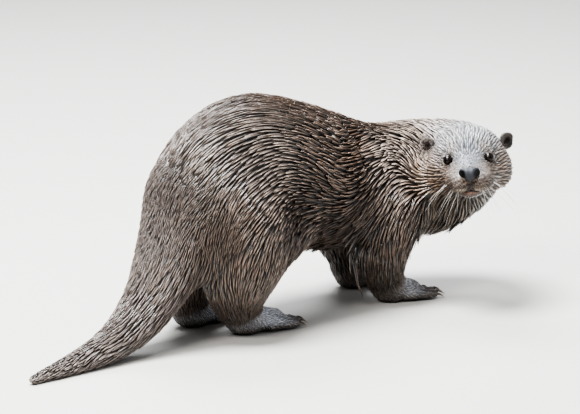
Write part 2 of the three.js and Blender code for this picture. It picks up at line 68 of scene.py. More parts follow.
# Each light's place and size in metres, its watts and its colour.
LIGHTS = {
    "overhead": ((-0.45, 0.3, 2.5), 1.2, 170, (0.95, 0.98, 1.0)),
    "key": ((-1.8, -0.5, 1.8), 0.8, 42, (1.0, 0.98, 0.95)),
    "behind": ((1.1, 1.4, 1.9), 1.2, 55, (0.93, 0.97, 1.0)),
    "fill": ((1.6, -2.2, 1.2), 2.0, 12, (0.9, 0.95, 1.0)),
}


def placed(name, data):
    """A new object in the scene."""
    thing = bpy.data.objects.new(name, data)
    bpy.context.scene.collection.objects.link(thing)
    return thing


def aimed(thing, place, ahead):
    """Puts a camera or a light at a place, looking ahead."""
    thing.location = place
    thing.rotation_mode = "QUATERNION"
    thing.rotation_quaternion = ahead.to_track_quat("-Z", "Y")


def make_camera():
    data = bpy.data.cameras.new("camera")
    data.sensor_width = SENSOR
    data.lens = SENSOR * CAMERA_DISTANCE / (IMAGE_WIDTH * PIXEL)
    data.clip_end = 50
    level = math.cos(CAMERA_ELEVATION)
    back = Vector((
        math.sin(CAMERA_AZIMUTH) * level,
        -math.cos(CAMERA_AZIMUTH) * level,
        math.sin(CAMERA_ELEVATION),
    ))
    camera = placed("camera", data)
    aimed(camera, CAMERA_TARGET + back * CAMERA_DISTANCE, -back)
    bpy.context.scene.camera = camera


def make_light(name, place, size, power, colour):
    data = bpy.data.lights.new(name, "AREA")
    data.shape = "DISK"
    data.size = size
    data.energy = power
    data.color = colour
    aimed(placed(name, data), place, CAMERA_TARGET - Vector(place))


def make_stage():
    bpy.context.scene.view_settings.view_transform = "AgX"
    bpy.context.scene.view_settings.look = CONTRAST
    world = bpy.data.worlds.new("sky")
    bpy.context.scene.world = world
    world.use_nodes = True
    background = world.node_tree.nodes["Background"]
    background.inputs["Color"].default_value = SKY_COLOUR
    background.inputs["Strength"].default_value = SKY_STRENGTH
    bm = bmesh.new()
    bmesh.ops.create_grid(bm, x_segments=1, y_segments=1, size=FLOOR_SIZE / 2)
    floor = piece_from("floor", bm, smooth=False)
    floor.data.materials.append(material_of("floor"))


# ---------------------------------------------------------------- small helpers
def piece_from(name, bm, smooth=True):
    """A new object from a bmesh, at the origin."""
    mesh = bpy.data.meshes.new(name)
    bm.to_mesh(mesh)
    bm.free()
    if smooth:
        mesh.shade_smooth()
    return placed(name, mesh)


def centre(node):
    low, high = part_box(node)
    return (low + high) / 2


def unit(v):
    """Rows of an array, each scaled to length 1."""
    return v / np.maximum(np.linalg.norm(v, axis=-1, keepdims=True), 1e-12)


def lengths(v):
    """The length of each row of an array."""
    return np.linalg.norm(v, axis=-1)


def soft_step(x, low, high):
    t = np.clip((x - low) / (high - low), 0, 1)
    return t * t * (3 - 2 * t)


def bell(distance, width):
    """1 at no distance, fading smoothly over a width."""
    return np.exp(-((distance / width) ** 2))


def both_sides(rows):
    """The rows of a table of places in the head's frame, those off its middle once for each side."""
    for middle, *rest in rows:
        for side in (-1, 1) if middle[1] else (1,):
            yield np.array(middle) * [1, side, 1], *rest


def inside(points, middle, radii, soft=0.35):
    """1 inside an egg given in mm, fading to 0 outside it."""
    reach = lengths((points / MM - np.array(middle)) / np.array(radii))
    return 1 - soft_step(reach, 1 - soft, 1 + soft)


def tree_of(points):
    tree = KDTree(len(points))
    for number, point in enumerate(points.tolist()):
        tree.insert(point, number)
    tree.balance()
    return tree


# ---------------------------------------------------------------- the head's own frame
EYES = {"right": centre("eye_right"), "left": centre("eye_left")}
EARS = {"right": centre("ear_right"), "left": centre("ear_left")}
SIDES = {"right": -1, "left": 1}
EARS_BEHIND, EARS_UP = 30 * MM, 11 * MM


def head_axes():
    """The head's middle, and its axes as rows: to the nose, to the animal's left, and to the crown."""
    left = (EYES["left"] - EYES["right"]).normalized()
    eyes = (EYES["left"] + EYES["right"]) / 2
    ears = (EARS["left"] + EARS["right"]) / 2
    forward = eyes - ears
    forward = (forward - left * forward.dot(left)).normalized()
    up = forward.cross(left)
    origin = ears + forward * EARS_BEHIND - up * EARS_UP
    return np.array(origin), np.array([forward, left, up])


HEAD_ORIGIN, HEAD_AXES = head_axes()


def to_head(points):
    return (np.asarray(points) - HEAD_ORIGIN) @ HEAD_AXES.T


def from_head(points):
    return np.asarray(points) @ HEAD_AXES + HEAD_ORIGIN


# ---------------------------------------------------------------- the skin
OWN_PIECES = ("eye_", "claw_", "nose_pad")
PARTS = sorted(n for n in NODES if not n.startswith(OWN_PIECES))
SKIN_VOXEL = 3.7 * MM
CLOSE_GAP = 0.5 * MM  # each solid grows by this, so that neighbours melt together
SOLE = 0.25 * MM  # the skin's least height over the floor


def joined_flesh():
    bm = bmesh.new()
    for name in PARTS:
        if name.startswith("ear_"):
            continue
        part = bmesh.new()
        part.from_mesh(NODES[name].data)
        bmesh.ops.remove_doubles(part, verts=part.verts, dist=1e-6)
        part.normal_update()
        for vert in part.verts:
            vert.co += vert.normal * CLOSE_GAP
        mesh = bpy.data.meshes.new("part")
        part.to_mesh(mesh)
        part.free()
        bm.from_mesh(mesh)
        bpy.data.meshes.remove(mesh)
    return piece_from("skin", bm)


def remeshed(piece, size):
    remesh = piece.modifiers.new("remesh", "REMESH")
    remesh.mode = "VOXEL"
    remesh.voxel_size = size
    graph = bpy.context.evaluated_depsgraph_get()
    mesh = bpy.data.meshes.new_from_object(piece.evaluated_get(graph))
    piece.modifiers.clear()
    old, piece.data = piece.data, mesh
    bpy.data.meshes.remove(old)


def rows_of(items, key, width, kind=float):
    """One value of each item of a mesh, as the rows of an array."""
    values = np.empty(len(items) * width, kind)
    items.foreach_get(key, values)
    return values.reshape(-1, width)


def places_of(mesh):
    return rows_of(mesh.vertices, "co", 3)


def normals_of(mesh):
    return rows_of(mesh.vertex_normals, "vector", 3, np.float32).astype(float)


def edges_of(mesh):
    return rows_of(mesh.edges, "vertices", 2, np.int32)


def triangles_of(mesh):
    mesh.calc_loop_triangles()
    return rows_of(mesh.loop_triangles, "vertices", 3, np.int32)


def keep_values(mesh, name, values):
    """Keeps a number or a colour at each vertex of a mesh."""
    kind, key = ("FLOAT", "value") if values.ndim == 1 else ("FLOAT_COLOR", "color")
    if values.ndim > 1:
        values = np.column_stack([values, np.ones(len(values))])
    mesh.attributes.new(name, kind, "POINT").data.foreach_set(key, values.astype(np.float32).ravel())


def set_places(mesh, co):
    mesh.vertices.foreach_set("co", co.astype(np.float32).ravel())
    mesh.update()


def spread(values, edges, rounds, share=0.5):
    """Each vertex's values moved towards its neighbours' mean by a share, some rounds over."""
    count = len(values)
    a, b = edges.T
    degree = np.bincount(edges.ravel(), minlength=count)[:, None]
    share = np.broadcast_to(np.reshape(share, (-1, 1)), (count, 1))
    for _ in range(rounds):
        total = np.stack(
            [np.bincount(a, v[b], count) + np.bincount(b, v[a], count) for v in values.T], axis=1
        )
        values = values + share * (total / degree - values)
    return values


def smoothed(co, edges, rounds, share):
    """Smoothing that keeps the volume: each round in is followed by a slightly larger one out."""
    for _ in range(rounds):
        co = spread(co, edges, 1, share)
        co = spread(co, edges, 1, -1.03 * share)
    return co


def refined(piece, chosen, rounds=5):
    """The faces whose middle is chosen get half the edge length, and are rounded off again."""
    bm = bmesh.new()
    bm.from_mesh(piece.data)
    middles = np.array([f.calc_center_median() for f in bm.faces])
    picked = chosen(middles)
    edges = {e for f, pick in zip(bm.faces, picked) if pick for e in f.edges}
    bmesh.ops.subdivide_edges(bm, edges=list(edges), cuts=1, use_grid_fill=True)
    bmesh.ops.triangulate(bm, faces=[f for f in bm.faces if len(f.verts) > 4])
    bm.to_mesh(piece.data)
    bm.free()
    co, edges = places_of(piece.data), edges_of(piece.data)
    set_places(piece.data, smoothed(co, edges, rounds, 0.5 * chosen(co)))


def around_head_and_feet(points):
    q = to_head(points)
    near = (lengths(q) < 78 * MM) & (q[:, 0] > -44 * MM)
    for name in PARTS:
        if name.startswith("foot"):
            low, high = (np.array(corner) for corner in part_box(name))
            near |= np.all((points > low - 3 * MM) & (points < high + 3 * MM), axis=1)
    return near


def around_face(points):
    q = to_head(points)
    return (q[:, 0] > 20 * MM) & (np.abs(q[:, 1]) < 40 * MM) & (lengths(q) < 90 * MM)


def around_eyes_and_mouth(points):
    q = to_head(points)
    near = np.zeros(len(points), bool)
    for eye in EYES.values():
        near |= lengths(q - to_head(eye)) < 11 * MM
    on_mouth = np.abs(q[:, 2] - mouth_height(q)) < 4 * MM
    return near | (on_mouth & (np.abs(q[:, 1]) < MOUTH_HALF) & (q[:, 0] > 28 * MM))


def nearest_part(points):
    """For each point, the number in PARTS of the solid whose surface is nearest."""
    places, faces, owners = [], [], []
    start = 0
    for number, name in enumerate(PARTS):
        mesh = NODES[name].data
        places.append(places_of(mesh))
        faces.append(triangles_of(mesh) + start)
        owners.append(np.full(len(faces[-1]), number))
        start += len(places[-1])
    tree = BVHTree.FromPolygons(np.concatenate(places).tolist(), np.concatenate(faces).tolist())
    owners = np.concatenate(owners)
    return np.array([owners[tree.find_nearest(p)[2]] for p in points.tolist()])


def on_part(owner, start):
    """Whether each vertex is on a part whose name starts so."""
    return np.array([name.startswith(start) for name in PARTS])[owner]


def part_values(table, owner, default):
    """Per vertex, the value that the longest matching start of its part's name has in a table."""
    per_part = []
    for name in PARTS:
        keys = [k for k in table if name.startswith(k)]
        per_part.append(table[max(keys, key=len)] if keys else default)
    return np.array(per_part, float)[owner]


# How deep the coat is over the skin, in mm, and how many rounds each part's skin is smoothed.
OTHER_DEPTH = 2.0
COAT_DEPTH = {
    "head": 1.5, "lower_jaw": 1.3, "ear": 0.5, "neck": 3.2, "chest": 3.2, "belly": 3.2, "rump": 2.6,
    "tail": 2.3, "tail_tip": 1.5, "thigh": 2.6, "upper_arm": 3.0, "shank": 1.6, "forearm": 1.8, "foot": 0.7,
}
FACE_DEPTH = 0.5  # in mm, over the muzzle and round the eyes
SMOOTHING = {"head": 10, "lower_jaw": 6, "foot": 2, "shank": 12, "forearm": 12, "tail_tip": 12}
BODY_SMOOTHING = 40


def smooth_by_part(piece):
    mesh = piece.data
    co, edges = places_of(mesh), edges_of(mesh)
    rounds = spread(part_values(SMOOTHING, nearest_part(co), BODY_SMOOTHING)[:, None], edges, 8)[:, 0]
    for low in range(0, BODY_SMOOTHING, 2):
        co = smoothed(co, edges, 2, 0.5 * np.clip((rounds - low) / 2, 0, 1))
    set_places(mesh, co)


def make_skin():
    """The skin's piece, each vertex's part and the mesh's edges."""
    skin = joined_flesh()
    remeshed(skin, SKIN_VOXEL)
    smooth_by_part(skin)
    refined(skin, around_head_and_feet)
    refined(skin, around_face)
    refined(skin, around_eyes_and_mouth, rounds=3)
    mesh = skin.data
    co, edges = places_of(mesh), edges_of(mesh)
    depth = spread(part_values(COAT_DEPTH, nearest_part(co), OTHER_DEPTH)[:, None], edges, 25)[:, 0]
    depth += (FACE_DEPTH - depth) * inside(to_head(co), (58, 0, 0), (34, 34, 34))
    set_places(mesh, co - normals_of(mesh) * (depth[:, None] * MM + CLOSE_GAP))
    carve_head(mesh)
    part_toes(mesh)
    co = places_of(mesh)
    co[:, 2] = np.maximum(co[:, 2], SOLE)
    set_places(mesh, co)
    add_ears(skin)
    mesh = skin.data
    return skin, nearest_part(places_of(mesh)), edges_of(mesh)


# ---------------------------------------------------------------- the face, carved in the head's own frame
EYE_RADIUS = 5.9 * MM
EYE_GAZE = unit(np.array([0.86, 0.42, 0.29]))  # of the left eye, in the head's frame
LID_OPENING = math.radians(50)
LID_LIFT = 0.75 * MM  # of the lids' edge over the eyeball
LID_THICK = 1.6 * MM  # how far the skin sinks into the eyeball in the lids' opening
MOUTH_HEIGHT, MOUTH_HALF = -19.5 * MM, 24 * MM  # in the head's frame, and its half width
# Swellings and hollows: middle and radius in mm, in the head's frame, and height in mm. Those off the middle
# are on both sides.
FORMS = [
    ((56, 12, -10), 9.5, 1.8),  # whisker pad
    ((50, 21, -11), 9, 1.0),
    ((28, 20, 21), 9, 1.1),  # brow
    ((40, 14, 12), 6, -0.9),  # hollow before the eye
    ((33, 27, 2), 7, -0.7),  # hollow below the eye
    ((24, 33, -8), 12, 1.0),  # cheek
    ((0, 0, 33), 16, 0.6),  # crown
    ((46, 0, 20), 8, -0.4),  # bridge of the muzzle
    ((53, 0, -25), 7, 0.8),  # chin
    ((-34, 44, -3), 8, 1.4),  # below the ear
    ((-19, 44, 3), 9, -3.2),  # hollow before the ear
]


def mouth_height(q):
    """The mouth line's height: highest under the nose, then lower, and rising again to its corners."""
    across = np.abs(q[:, 1])
    return MOUTH_HEIGHT + 1.6 * MM * bell(across, 4 * MM) - 1.2 * MM * bell(across - 12 * MM, 7 * MM)


def beside_line(points, start, end):
    """Each point's distance from a line between two places, and its share of the way along."""
    along = end - start
    share = np.clip((points - start) @ along / (along @ along), 0, 1)
    return np.linalg.norm(points - start - share[:, None] * along, axis=1), share


def eye_angle(q, side):
    """Each point's angle off the eye's gaze, and its offset from the eye's middle."""
    offset = q - to_head(EYES[side])
    gaze = EYE_GAZE * [1, SIDES[side], 1]
    return np.arccos(np.clip(unit(offset) @ gaze, -1, 1)), offset


def lid_edge(offset):
    """The lids' opening as an angle: wider to the sides than up and down."""
    tilt = np.abs(unit(offset * [0.6, 1, 1])[:, 2])
    return LID_OPENING * (1.04 - 0.12 * tilt)


def with_lids(q, side):
    """The skin drawn over the eyeball as lids, and sunk inside it in their opening."""
    angle, offset = eye_angle(q, side)
    edge = lid_edge(offset)
    radius = lengths(offset)
    opened = 1 - soft_step(angle, edge - math.radians(7), edge)
    wanted = EYE_RADIUS + LID_LIFT - opened * (LID_LIFT + LID_THICK)
    hold = 1 - soft_step(angle, edge + math.radians(16), edge + math.radians(52))
    hold *= radius < 16 * MM
    return q + unit(offset) * (hold * (wanted - radius))[:, None]


def carve_head(mesh):
    co = places_of(mesh)
    q, normals = to_head(co), normals_of(mesh) @ HEAD_AXES.T
    near = np.flatnonzero((lengths(q) < 100 * MM) & (q[:, 0] > -60 * MM))
    p, out = q[near], normals[near]
    rise = np.zeros(len(near))
    for middle, radius, height in both_sides(FORMS):
        rise += height * MM * bell(lengths(p - middle * MM), radius * MM)
    front = soft_step(p[:, 0], 24 * MM, 36 * MM) * soft_step(-np.abs(p[:, 1]), -26 * MM, -20 * MM)
    below = p[:, 2] - mouth_height(p)
    rise -= 2.4 * MM * bell(below, 1.5 * MM) * front
    rise += 0.9 * MM * bell(below - 3.2 * MM, 2.2 * MM) * front  # the upper lips' edge
    lower_lip = 0.8 * MM * bell(below + 3.0 * MM, 2.0 * MM) * front * bell(p[:, 1], 12 * MM)
    rise += lower_lip
    philtrum, _ = beside_line(p, np.array([64, 0, -6]) * MM, np.array([61, 0, -19]) * MM)
    rise -= 1.1 * MM * bell(philtrum, 1.5 * MM)
    p = p + out * rise[:, None]
    for side in SIDES:
        p = with_lids(p, side)
    q[near] = p
    set_places(mesh, from_head(q))


# ---------------------------------------------------------------- ears and toes
EAR_HALF = (8.6, 10.2, 4.8)  # half width, height and thickness, in mm
EAR_HOLLOW = 7.4  # how deep its cup is, in mm
EAR_LEAN, EAR_TIP, EAR_SPLAY = -12, 8, 28  # degrees about the head's forward, left and up axes
EAR_LIFT = (4.2, -0.9, 1.5)  # outwards and up from the solid's middle, in mm


def ear_turn(side):
    turns = zip("ZYX", (EAR_SPLAY * side, EAR_TIP, EAR_LEAN * side))
    matrix = Matrix.Identity(3)
    for axis, angle in turns:
        matrix = matrix @ Matrix.Rotation(math.radians(angle), 3, axis)
    return np.array(matrix)


def ear_places(ball, side):
    """A ball's vertices as those of an ear: a rounded cup, open to the front."""
    x, y, z = ball.T
    wide, high, thick = EAR_HALF
    cup = bell(np.hypot(y / 0.78, (z - 0.02) / 0.82), 0.72) * soft_step(x, 0.0, 0.35)
    round_off = 1 + 0.3 * soft_step(-z, -0.2, 1) + 0.25 * soft_step(z, 0.2, 1)
    shape = np.column_stack([x * thick - EAR_HOLLOW * cup, y * wide * round_off, z * high])
    middle = to_head(EARS["right" if side < 0 else "left"]) / MM + np.array(EAR_LIFT) * [1, side, 1]
    return (shape @ ear_turn(side).T + middle) * MM


def add_ears(skin):
    bm = bmesh.new()
    bm.from_mesh(skin.data)
    for side in SIDES.values():
        made = bmesh.ops.create_icosphere(bm, subdivisions=4, radius=1)["verts"]
        ball = np.array([v.co for v in made])
        for vert, place in zip(made, from_head(ear_places(ball, side))):
            vert.co = place
    bm.to_mesh(skin.data)
    bm.free()


TOE_LENGTH = {"hind": 44, "fore": 27}  # from the claws back to where the toes join, in mm
TOE_CLEFT, CLEFT_WIDTH = 2.4, 1.9  # mm


def claw_line(name):
    """A claw's root and tip, and its way ahead over the floor."""
    co = places_of(NODES[name].data)
    middle = co.mean(axis=0)
    _, _, axes = np.linalg.svd(co - middle, full_matrices=False)
    foot = np.array(centre("foot_" + name[len("claw_"):-2]))
    ahead = axes[0] * np.sign(axes[0] @ (middle - foot))
    travel = (co - middle) @ ahead
    return middle + ahead * travel.min(), middle + ahead * travel.max(), unit(ahead * [1, 1, 0])


def clefts():
    """The lines between neighbouring toes, each from its front end to its back end."""
    lines = []
    for name in PARTS:
        if not name.startswith("foot_"):
            continue
        kind = name.split("_")[1]
        claws = [claw for claw in NODES if claw.startswith("claw_" + name[len("foot_"):])]
        toes = sorted((claw_line(claw) for claw in claws), key=lambda toe: toe[0][1])
        for near, far in zip(toes[:-1], toes[1:]):
            start = (near[0] + far[0]) / 2
            back = unit(near[2] + far[2]) * TOE_LENGTH[kind] * MM
            lines.append((start + back * 0.2, start - back))
    return lines


def cleft_depth(points):
    """How far into a cleft each point is, from 0 to 1."""
    depth = np.zeros(len(points))
    for start, end in clefts():
        flat = points * [1, 1, 0]
        distance, share = beside_line(flat, start * [1, 1, 0], end * [1, 1, 0])
        low = soft_step(-points[:, 2], -45 * MM, -34 * MM)
        cleft = bell(distance, CLEFT_WIDTH * MM) * (1 - soft_step(share, 0.55, 1)) * low
        depth = np.maximum(depth, cleft)
    return depth


def part_toes(mesh):
    co = places_of(mesh)
    near = np.flatnonzero(co[:, 2] < 45 * MM)
    depth = cleft_depth(co[near])
    upward = np.clip(normals_of(mesh)[near, 2] + 0.6, 0, 1)
    co[near] -= normals_of(mesh)[near] * (depth * upward * TOE_CLEFT * MM)[:, None]
    set_places(mesh, co)


# ---------------------------------------------------------------- the lie of the hair
TRUNK_MIDDLE = 41  # the trunk's own left and right meet here, in mm of +Y
# Lines of hair over the trunk's right side, in mm, from root to tip. The left side has their mirror images.
SIDE_LINES = [
    [
        (114, -18, 196), (87, -9, 219), (43, -5, 236), (5, 3, 246),
        (-31, 14, 244), (-67, 24, 232), (-96, 34, 210),
    ],
    [
        (103, -28, 163), (68, -27, 186), (22, -25, 206), (-10, -22, 210),
        (-44, -21, 203), (-75, -17, 186), (-112, -3, 149),
    ],
    [
        (98, -26, 139), (54, -28, 160), (15, -31, 173), (-17, -35, 172),
        (-45, -39, 160), (-66, -36, 143), (-78, -30, 120),
    ],
    [
        (89, -22, 126), (46, -25, 140), (17, -30, 145), (-15, -42, 141),
        (-34, -46, 127), (-46, -46, 106), (-55, -38, 80),
    ],
    [(83, -25, 133), (59, -24, 135), (42, -24, 128), (27, -27, 114), (12, -33, 98), (-4, -36, 78)],
    [(103, -17, 112), (75, -20, 117), (57, -21, 110), (45, -21, 98), (34, -20, 84)],
    [(-6, -40, 108), (-22, -44, 88), (-36, -34, 56)],
    [(-79, -20, 176), (-91, -20, 143), (-90, -18, 97), (-78, -16, 55), (-60, -10, 28)],
    [(-109, -8, 128), (-126, -4, 86), (-157, 2, 52), (-206, 6, 22), (-278, 9, 10)],
]
# Lines along the middle of the back and the tail, and over the neck's and the shoulder's right side.
OWN_LINES = [
    [
        (214, 31, 200), (156, 30, 214), (108, 35, 234), (60, 40, 250),
        (13, 41, 260), (-25, 41, 252), (-80, 41, 228),
    ],
    [
        (-80, 41, 228), (-122, 42, 174), (-137, 35, 133), (-157, 27, 93),
        (-193, 26, 54), (-253, 19, 26), (-325, 12, 10),
    ],
    [(236, -50, 184), (267, -10, 187), (271, 11, 195), (255, 32, 198), (225, 42, 204)],
    [(254, -4, 184), (247, 9, 190), (233, 17, 194), (198, 12, 198), (158, 2, 200), (111, -14, 200)],
    [(241, -13, 178), (235, -3, 182), (217, -1, 184), (188, -6, 185), (160, -8, 182), (116, -22, 185)],
    [(229, -32, 161), (229, -15, 171), (216, -9, 177), (191, -10, 178), (164, -14, 173), (133, -24, 171)],
    [
        (224, -41, 147), (217, -26, 157), (199, -21, 160),
        (173, -23, 156), (155, -25, 147), (145, -25, 134),
    ],
    [(219, -60, 145), (218, -36, 142), (199, -31, 139), (181, -30, 129), (171, -28, 112)],
    [(225, -64, 137), (223, -45, 128), (209, -40, 116), (195, -39, 102), (189, -37, 85)],
    [(256, -72, 118), (258, -53, 104), (262, -26, 84)],
    [(238, -66, 128), (236, -40, 104), (213, -36, 83)],
    [(178, -22, 158), (152, -27, 138), (118, -15, 104)],
    [(181, -29, 132), (171, -30, 99), (171, -25, 58), (183, -21, 27)],
]
MIRRORED = [[(x, 2 * TRUNK_MIDDLE - y, z) for x, y, z in line] for line in SIDE_LINES]
NOSE_TIP = np.array([70, 0, 4]) * MM  # the hair of the head runs away from here, in the head's frame


def limb_line(leg):
    """The line that the hair of one leg follows, from the top of the leg down and out along the foot."""
    upper, lower = ("thigh", "shank") if leg.startswith("hind") else ("upper_arm", "forearm")
    top, shin = centre(f"{upper}_{leg}"), centre(f"{lower}_{leg}")
    low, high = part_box(f"foot_{leg}")
    across = (low.y + high.y) / 2
    toes = Vector((high.x, across, 5 * MM))
    ankle = Vector((low.x + 26 * MM, across, 26 * MM))
    return [top + Vector((6, 0, 46)) * MM, top, shin + Vector((0, 0, 14)) * MM, ankle, toes]


def spine_line():
    """The line that the hair of the body follows, from the back of the skull to the tip of the tail."""
    low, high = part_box("tail_tip")
    return [
        *[Vector(p) for p in from_head(np.array([[-30, 0, 12], [-52, 0, 4]]) * MM)],
        centre("neck") + Vector((14, 8, 10)) * MM,
        centre("chest") + Vector((45, 2, -5)) * MM,
        centre("chest"),
        centre("belly"),
        centre("rump"),
        centre("rump") + Vector((-36, 0, -24)) * MM,
        centre("tail_base"),
        centre("tail_middle"),
        Vector((high.x, (low.y + high.y) / 2 + 3 * MM, 14 * MM)),
        Vector((low.x, low.y + 4 * MM, 5 * MM)),
    ]


LEGS = ["hind_right", "hind_left", "fore_right", "fore_left"]
LEG_PULL = {"hind": 0.62, "fore": 0.7}
# Each line with its pull, a factor of how far its hold goes.
LINES = [(spine_line(), 1.0)] + [(limb_line(leg), LEG_PULL[leg[:4]]) for leg in LEGS]
LINES += [(np.array(line) * MM, 0.8) for line in MIRRORED + SIDE_LINES + OWN_LINES]
HOLD = 7 * MM  # a line's hold is spread over this much
REACH, FADING = 50 * MM, 4  # how far a hold goes, and the power with which it fades


def combed(points):
    """The direction of the hair at some points: along the nearest lines, and on the head from the nose."""
    total = np.zeros_like(points)
    for line, pull in LINES:
        line = np.array(line)
        for a, b in zip(line[:-1], line[1:]):
            distance, _ = beside_line(points, a, b)
            total += ((pull * REACH / (distance + HOLD)) ** FADING)[:, None] * (b - a)
    total = unit(total)
    q = to_head(points)
    away = unit((q - NOSE_TIP) * [1, 1, 0.8])
    on_head = soft_step(q[:, 0], -44 * MM, -8 * MM) * soft_step(-lengths(q), -92 * MM, -62 * MM)
    return unit(total + (unit(away @ HEAD_AXES) - total) * on_head[:, None])


def waves(points, length, seed, count=7):
    """Smooth noise of about unit size that varies over a length in metres."""
    rng = np.random.default_rng(seed)
    total = np.zeros(len(points))
    for _ in range(count):
        wave = unit(rng.normal(size=3)) * 2 * math.pi / length * rng.uniform(0.6, 1.5)
        total += np.sin(points @ wave + rng.uniform(0, 2 * math.pi))
    return total * math.sqrt(2 / count)


def turned(directions, normals, angles):
    """Directions turned about their normals."""
    side = np.cross(normals, directions)
    return directions * np.cos(angles)[:, None] + side * np.sin(angles)[:, None]


def laid(directions, normals):
    """Directions pressed flat onto the skin."""
    return unit(directions - normals * np.sum(directions * normals, axis=1, keepdims=True))


# ---------------------------------------------------------------- the coat's style
# Wet hair hangs together in pointed locks of several blades each. Per part, in mm: a lock's length and width,
# the step to the next one along the hair, the blades' spacing and width, how high a lock's crest is over its
# sides, and how far its tip stands up. Then, as shares: how ragged the locks lie, and how far their blades
# come together at the tip. The last name, whether hair grows, is worked out for each vertex.
STYLE_NAMES = "length lock step spacing blade ridge stand ragged gather hair".split()
STYLES = {
    "head": (14.0, 2.9, 7.0, 1.25, 1.05, 2.0, 0.5, 0.08, 0.95),
    "lower_jaw": (8.0, 1.7, 4.0, 1.15, 0.85, 0.8, 0.5, 0.15, 0.8),
    "ear": (3.0, 1.1, 2.2, 0.95, 0.6, 0.3, 0.3, 0.2, 0.4),
    "neck": (23.0, 2.3, 10.0, 1.45, 1.25, 1.6, 0.5, 0.08, 0.93),
    "chest": (24.0, 2.9, 10.5, 1.65, 1.6, 2.2, 0.6, 0.10, 0.94),
    "belly": (25.0, 2.9, 11.0, 1.65, 1.6, 2.2, 0.6, 0.09, 0.94),
    "rump": (25.0, 2.6, 11.0, 1.6, 1.45, 1.8, 0.35, 0.05, 0.93),
    "thigh": (20.0, 2.4, 9.0, 1.6, 1.4, 1.4, 0.4, 0.07, 0.92),
    "upper_arm": (24.0, 2.6, 10.0, 1.55, 1.4, 1.9, 0.6, 0.10, 0.94),
    "tail": (21.0, 2.1, 9.5, 1.5, 1.3, 1.3, 0.4, 0.07, 0.91),
    "tail_tip": (12.0, 1.7, 6.0, 1.3, 1.1, 0.8, 0.4, 0.10, 0.85),
    "shank": (13.0, 2.0, 6.0, 1.4, 1.15, 1.0, 0.5, 0.10, 0.88),
    "forearm": (16.0, 2.3, 7.0, 1.4, 1.2, 1.3, 0.6, 0.12, 0.9),
    "foot": (5.5, 1.5, 3.2, 1.2, 0.75, 0.6, 0.25, 0.12, 0.6),
}
SMOOTH = dict(length=13, lock=1.6, step=6, spacing=1.4, blade=1.15, ridge=0.45, stand=0.2, ragged=0.06)
SCALES = dict(length=18, lock=3.3, step=9, blade=1.65, ridge=2.6, stand=0.9, ragged=0.14)
LONG = dict(length=38, lock=2.3, step=17, spacing=1.5, blade=1.25, ridge=2.0, stand=0.1, ragged=0.03)
VELVET = dict(
    length=3.2, lock=1.1, step=2.4, spacing=0.95, blade=0.55, ridge=0.15, stand=0.1, ragged=0.15, gather=0.3
)
RUFF = dict(length=17, lock=2.2, step=7.5, spacing=1.35, blade=1.15, ridge=1.5, stand=0.4)
CHEEK = dict(length=14, lock=2.1, step=7, spacing=1.25, blade=1.05, ridge=1.25, stand=0.4, gather=0.93)
NAPE = dict(length=19, lock=2.1, step=8, spacing=1.35, blade=1.15, ridge=1.2, stand=0.3)
SHAGGY = dict(length=30, lock=2.8, stand=3.5, ragged=0.16)
# Where the style differs inside a part: a place's middle and radii in mm, and the style.
BODY_ZONES = [
    ((212, -20, 160), (34, 34, 34), NAPE),
    ((-116, 41, 160), (44, 100, 60), SMOOTH),
    ((-92, -24, 138), (24, 40, 36), SMOOTH),
    ((-92, 106, 138), (24, 40, 36), SMOOTH),
    ((15, -35, 125), (62, 40, 36), SCALES),
    ((15, 117, 125), (62, 40, 36), SCALES),
    ((20, 41, 245), (120, 62, 34), LONG),
    ((250, -45, 88), (45, 60, 24), SHAGGY),
    ((110, 41, 62), (70, 60, 22), SHAGGY),
]
HEAD_ZONES = [  # in the head's frame, and those off its middle are on both sides
    ((-52, 0, 0), (44, 66, 56), RUFF),
    ((-18, 42, 0), (30, 20, 30), CHEEK),
    ((-20, 43, 9), (15, 13, 18), VELVET),
    ((57, 0, 0), (30, 25, 25), VELVET),
    ((34, 22, 10), (14, 12, 12), VELVET),
]
BLEND_ROUNDS = 60  # neighbouring parts' values melt together over this many rounds


def styles_at(co, owner, edges):
    """Per vertex of the skin, the style's values in the order of their names."""
    style = spread(part_values(STYLES, owner, STYLES["belly"]), edges, BLEND_ROUNDS)
    style = np.column_stack([style, 1 - bald(co)])
    for points, zones in ((co, BODY_ZONES), (to_head(co), both_sides(HEAD_ZONES))):
        for middle, radii, changes in zones:
            share = inside(points, middle, radii)
            for name, value in changes.items():
                column = STYLE_NAMES.index(name)
                style[:, column] += share * (value - style[:, column])
    return style


def bald(co):
    """1 where no hair grows: in the lids' opening and on their edge, on the nose and in the mouth."""
    q = to_head(co)
    none = np.zeros(len(co))
    for side in SIDES:
        angle, offset = eye_angle(q, side)
        near = lengths(offset) < 12 * MM
        none = np.maximum(none, near * (angle < lid_edge(offset) + math.radians(10)))
    none = np.maximum(none, inside(q, NOSE_MIDDLE / MM, (9, 13.5, 9), 0.02))
    on_mouth = np.abs(q[:, 2] - mouth_height(q) - 0.5 * MM) < 2.6 * MM
    return np.maximum(none, on_mouth & (q[:, 0] > 30 * MM) & (np.abs(q[:, 1]) < MOUTH_HALF))


